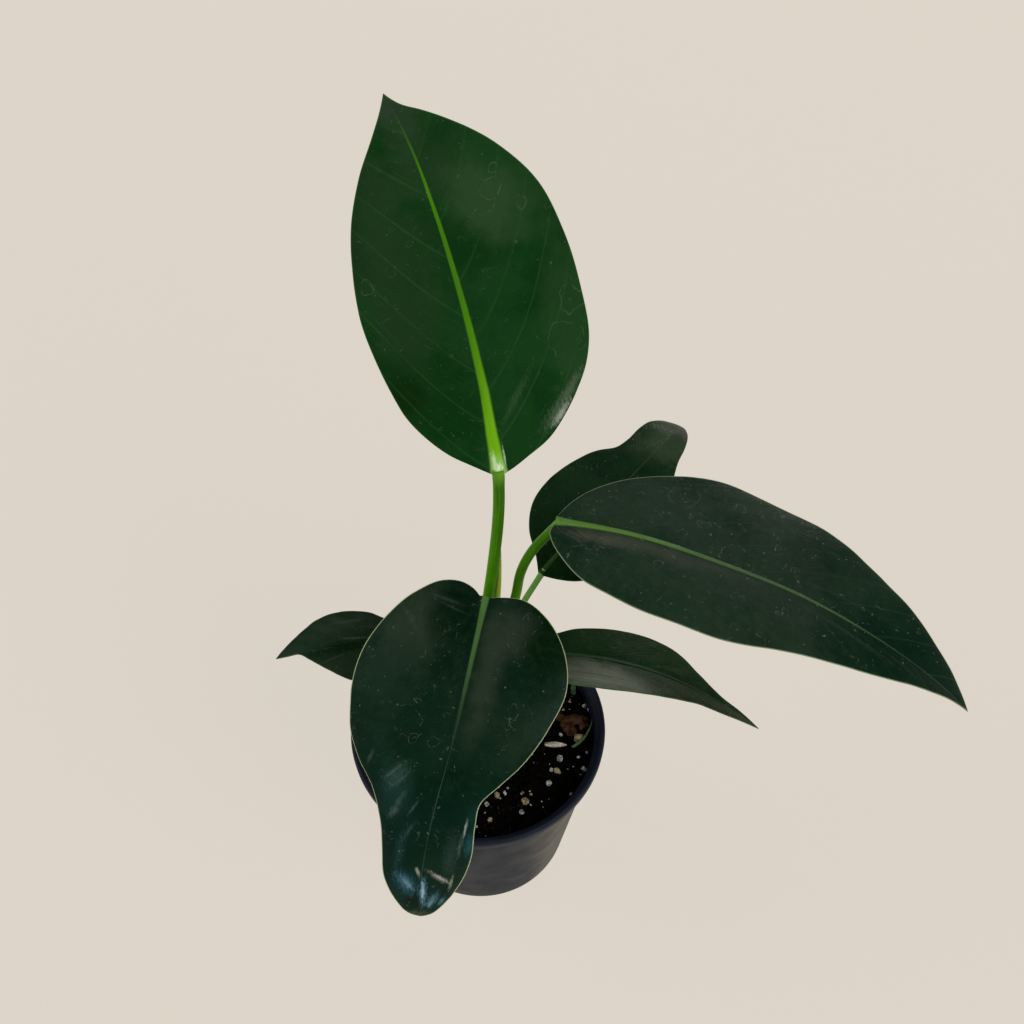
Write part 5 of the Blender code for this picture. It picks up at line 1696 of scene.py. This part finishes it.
def crown(material):
    """Short ringed stem, a little uneven, that stands in the soil."""
    height = CROWN_TOP - CROWN_FOOT
    profile = [(0, 0), (CROWN_RADIUS - 1 * MM, 0)]
    for share in np.linspace(0.02, 0.97, 60):
        grooves = sum(math.exp(-(((share - at) / 0.018) ** 2)) for at in CROWN_GROOVES)
        taper = 0.5 * MM * share
        profile.append((CROWN_RADIUS - taper - CROWN_RELIEF * grooves, share * height))
    profile += [(CROWN_RADIUS - 1.4 * MM, 0.99 * height), (CROWN_RADIUS - 2.6 * MM, height), (0, height)]
    data = turned("crown_stem", profile, 64, 50)
    for corner in data.vertices:
        here = corner.co.copy()
        push = noise.fractal(here / (7 * MM), 1.0, 2.0, 3)
        flat = Vector((here.x, here.y, 0))
        if flat.length > 1 * MM:
            corner.co += flat.normalized() * push * CROWN_RELIEF
        corner.co += Vector((*CROWN_CENTRE, CROWN_FOOT))
    return dress(new_piece("crown_stem", data, [material]), "crown_brown_green", "crown")


def broken_faces(draw):
    """Random flat faces that a broken lump is cut to: (direction, distance from its middle)."""
    breaks = []
    while len(breaks) < CHIP_BREAKS:
        side = Vector((draw.uniform(-1, 1), draw.uniform(-1, 1), draw.uniform(-0.7, 0.7)))
        if side.length > 0.2:
            breaks.append((side.normalized(), draw.uniform(0.68, 0.93)))
    return breaks


def chip(name, spec, node, material):
    """Broken lump of bark lying on the soil: flat torn faces with layered edges."""
    long, wide, thick = spec["size"]
    draw = random.Random(spec["seed"])
    breaks = broken_faces(draw)
    shift = Vector((draw.uniform(0, 9), draw.uniform(0, 9), draw.uniform(0, 9)))
    work = bmesh.new()
    bmesh.ops.create_icosphere(work, subdivisions=5, radius=1.12)
    for corner in work.verts:
        here = corner.co.copy()
        for side, depth in breaks:
            over = here.dot(side) - depth
            if over > 0:
                here -= side * over
        layers = noise.fractal(Vector((here.x * 2, here.y * 3, here.z * 8)) + shift, 1.0, 2.0, 3)
        torn = noise.fractal(here * 2.4 + shift, 0.9, 2.1, 4)
        here *= 1 + CHIP_LAYERS * layers + CHIP_TEARS * torn
        corner.co = Vector((long * here.x, wide * here.y, thick * (0.5 + 0.5 * here.z)))
    work.transform(Matrix.Scale(MM, 4))
    turn = Matrix.Rotation(math.radians(spec["turn"]), 4, "Z")
    place = Vector((spec["place"][0] * MM, spec["place"][1] * MM, SOIL_LEVEL + 0.1 * MM))
    work.transform(Matrix.Translation(place) @ turn)
    data = finished_mesh(work, bpy.data.meshes.new(name), CHIP_CREASE)
    return dress(new_piece(name, data, [material]), "bark", node)


def wood_sliver(material):
    """Split spindle of pale wood with pointed, frayed ends."""
    long, wide, thick = WOOD_SLIVER["size"]
    shares = np.linspace(-1, 1, 60)
    path = [(share * long, 0.25 * math.sin(2.5 * share), 0.55 + 0.25 * share) for share in shares]
    radii = [max(0.08, wide * (1 - abs(share) ** 2.2) ** 0.8) for share in shares]
    flatness = thick / wide * 0.75

    def split_section(turn, along):
        ridges = 0.12 * math.sin(5 * turn + 3 * along) + 0.07 * math.sin(11 * turn)
        return (1 + ridges) * (flatness + (1 - flatness) * abs(math.cos(turn)))

    points, faces, _ = sweep(path, radii, 36, split_section)
    turn = Matrix.Rotation(math.radians(WOOD_SLIVER["turn"]), 4, "Z")
    place = Vector((*WOOD_SLIVER["place"], SOIL_LEVEL / MM + 0.5))
    points = [(place + turn @ Vector(point)) * MM for point in points]
    data = closed_mesh("split_wood", points, faces, crease=50)
    return dress(new_piece("split_wood", data, [material]), "pale_wood", "wood_sliver")


def grass_blade(material):
    """Thin keeled blade of grass that rises towards the lip."""
    rings = 40
    path = smooth_path(GRASS_PATH, rings)
    points = []
    for share, centre, heading in zip(np.linspace(0, 1, rings), path, unit(np.gradient(path, axis=0))):
        half = 0.8 * (1 - share**1.8) + 0.06
        across = unit(np.cross(heading, (0, 0, 1)))
        face = np.cross(across, heading)
        for side, level in GRASS_SECTION:
            points.append((centre + across * side * half + face * level * (0.6 + 0.6 * half)) * MM)
    data = closed_mesh("grass", points, rod_faces(rings, len(GRASS_SECTION)), crease=70)
    return dress(new_piece("grass", data, [material]), "grass", "grass_blade")


def seedling(material):
    """Tiny seedling: a thin stem with two cupped seed leaves."""
    x, y = SEEDLING["place"]
    height = SEEDLING["height"]
    foot = SOIL_LEVEL / MM
    path = [(x, y, foot), (x + 0.1, y, foot + height * 0.6), (x, y, foot + height)]
    points, faces, _ = sweep(smooth_path(path, 14), [SEEDLING["stem"]] * 14, 14)
    work = bmesh.new()
    corners = [work.verts.new(Vector(point) * MM) for point in points]
    for face in faces:
        work.faces.new([corners[index] for index in face])
    long, wide, thick = SEEDLING["leaf"]
    for side in (-1, 1):
        made = bmesh.ops.create_uvsphere(work, u_segments=28, v_segments=18, radius=1)
        tilt = Matrix.Rotation(side * math.radians(18), 4, "X")
        for corner in made["verts"]:
            here = corner.co.copy()
            cup = 0.3 * (here.x**2 + here.y**2)
            narrowed = wide * here.x * (1 - 0.15 * side * here.y)
            local = Vector((narrowed, long * here.y, thick * here.z + cup))
            moved = tilt @ local + Vector((x, y + side * 0.8 * long, foot + height))
            corner.co = moved * MM
    data = finished_mesh(work, bpy.data.meshes.new("seed_leaves"))
    return dress(new_piece("seed_leaves", data, [material]), "grass", "seedling")


# Stage


def floor():
    """Wide pale floor that gives most of its own light, so that shadows on it stay faint."""
    data = bpy.data.meshes.new("floor")
    corners = [(x * FLOOR_HALF, y * FLOOR_HALF, 0) for x, y in ((-1, -1), (1, -1), (1, 1), (-1, 1))]
    data.from_pydata(corners, [], [(0, 1, 2, 3)])
    s = Shader("floor_paper", 0.9, 0.0)
    s.surface.inputs["Emission Color"].default_value = (*PAPER, 1)
    s.surface.inputs["Emission Strength"].default_value = PAPER_GLOW
    speck = s.ramp(s.noise(s.place(), 40, 4), 0.3, 0.7)
    low, high = (tuple(PAPER_SHADE * share * value for value in PAPER) for share in (0.98, 1.02))
    piece = new_piece("floor", data, [s.finish(s.mix(speck, low, high))])
    piece.location.z = -0.5 * MM


def aimed(name, lamp, place, aim):
    thing = bpy.data.objects.new(name, lamp)
    thing.location = place
    thing.rotation_euler = (Vector(place) - Vector(aim)).to_track_quat("Z", "Y").to_euler()
    thing.visible_camera = False
    bpy.context.scene.collection.objects.link(thing)


def window(name, towards, strength, angle, colour):
    """Soft light from far away in the given direction."""
    lamp = bpy.data.lights.new(name, "SUN")
    lamp.energy = strength
    lamp.angle = math.radians(angle)
    lamp.color = colour
    aimed(name, lamp, Vector(towards) * 3, (0, 0, 0))


def card(name, place, size, glow, colour):
    """Flat soft light of an even glow that faces the plant."""
    lamp = bpy.data.lights.new(name, "AREA")
    lamp.shape = "RECTANGLE"
    lamp.size, lamp.size_y = size
    lamp.energy = glow * math.pi * size[0] * size[1]
    lamp.color = colour
    aimed(name, lamp, place, PLANT_MIDDLE)


def lights():
    """Two wide windows, and cards for the gloss of the leaves and the pot."""
    window("left_window", (-0.84, 0.09, 0.53), 1.3, 50, (1.0, 0.99, 0.96))
    window("right_window", (0.64, -0.50, 0.59), 1.8, 40, (1.0, 0.97, 0.93))
    card("back_card", (0.86, 1.71, 0.41), (0.5, 0.35), 5.5, (1.0, 0.98, 0.94))
    card("high_back_card", (0.5, 1.45, 1.75), (0.45, 0.4), 2.6, (1.0, 0.98, 0.94))
    card("glare_card", (0.273, -0.469, 0.128), (0.05, 0.05), 25.0, (1.0, 0.99, 0.97))
    card("tail_card", (-0.24, -1.6, 0.23), (0.09, 0.09), 6.0, (1.0, 0.92, 0.94))
    card("high_card", (0.05, -1.65, 1.05), (0.6, 0.35), 2.0, (1.0, 1.0, 0.95))
    card("left_card", (-1.35, -1.55, 0.38), (0.26, 0.22), 14.0, (0.72, 0.93, 1.0))


def sky():
    """Dim sky for the plant; the camera sees the floor's own colour past the floor's edge."""
    world = bpy.data.worlds.new("studio")
    bpy.context.scene.world = world
    world.use_nodes = True
    tree = world.node_tree
    heading = add_node(tree, "ShaderNodeTexCoord", {}).outputs["Generated"]
    height = add_node(tree, "ShaderNodeSeparateXYZ", {0: heading}).outputs["Z"]
    fading = {"Value": height, "From Min": 0.10, "From Max": 0.45, "To Min": 0.16, "To Max": 0.12}
    glow = add_node(tree, "ShaderNodeMapRange", fading).outputs["Result"]
    seen = add_node(tree, "ShaderNodeLightPath", {}).outputs["Is Camera Ray"]
    tone = add_node(tree, "ShaderNodeMix", {0: seen, 6: SKY_TINT, 7: PAPER}, data_type="RGBA").outputs[2]
    level = add_node(tree, "ShaderNodeMix", {0: seen, 2: glow, 3: 1.0}).outputs[0]
    background = tree.nodes["Background"]
    wire(tree, background.inputs["Color"], tone)
    wire(tree, background.inputs["Strength"], level)


def camera():
    """Camera at the photograph's angle."""
    lens = bpy.data.cameras.new("camera")
    lens.lens = 50
    lens.sensor_width = 36
    viewer = bpy.data.objects.new("camera", lens)
    viewer.location = CAMERA_PLACE
    viewer.rotation_euler = (math.radians(90 - CAMERA_DIP), 0, 0)
    bpy.context.scene.collection.objects.link(viewer)
    bpy.context.scene.camera = viewer
    bpy.context.scene.view_settings.view_transform = "Standard"


def plant():
    """Leaves, stalks, rolled leaf and crown."""
    faces = {look: leaf_face("leaf_face_" + look, values) for look, values in LOOKS.items()}
    undersides = {look: leaf_underside("leaf_under_" + look, values) for look, values in LOOKS.items()}
    skins = {name: stalk_skin(name, *values) for name, values in STALK_SKINS.items()}
    for number, name in enumerate(LEAVES):
        look = LEAVES[name]["look"]
        blade(name, number + 1, faces[look], undersides[look])
        stalk(name, skins["pale_stalk_green" if name == "back_right" else "stalk_green"])
    spear(skins["rolled_leaf_green"])
    crown(crown_skin())


def litter():
    """Bark, wood, grass and a seedling on the soil."""
    bark = crumbly("bark", (0.014, 0.006, 0.003), (0.11, 0.050, 0.028), (0.22, 0.13, 0.08), 0.9)
    chip("bark_piece", BARK_CHIP, "bark_chip", bark)
    chip("bark_bit", BARK_CRUMB, "bark_crumb", bark)
    wood_sliver(fibrous("split_wood", (0.30, 0.25, 0.16), (0.85, 0.80, 0.66), 0.8))
    grass_blade(fibrous("grass_green", (0.045, 0.095, 0.022), (0.15, 0.25, 0.08), 0.5))
    seedling(fibrous("seedling_green", (0.012, 0.05, 0.012), (0.04, 0.13, 0.04), 0.5, (600, 600, 600)))


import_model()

plant()
pot(pot_plastic())
soil_body(crumbly("earth", (0.0006, 0.0004, 0.0003), (0.0022, 0.0015, 0.0010), (0.012, 0.007, 0.004)))
strew(soil_top())
litter()
floor()
sky()
lights()
camera()
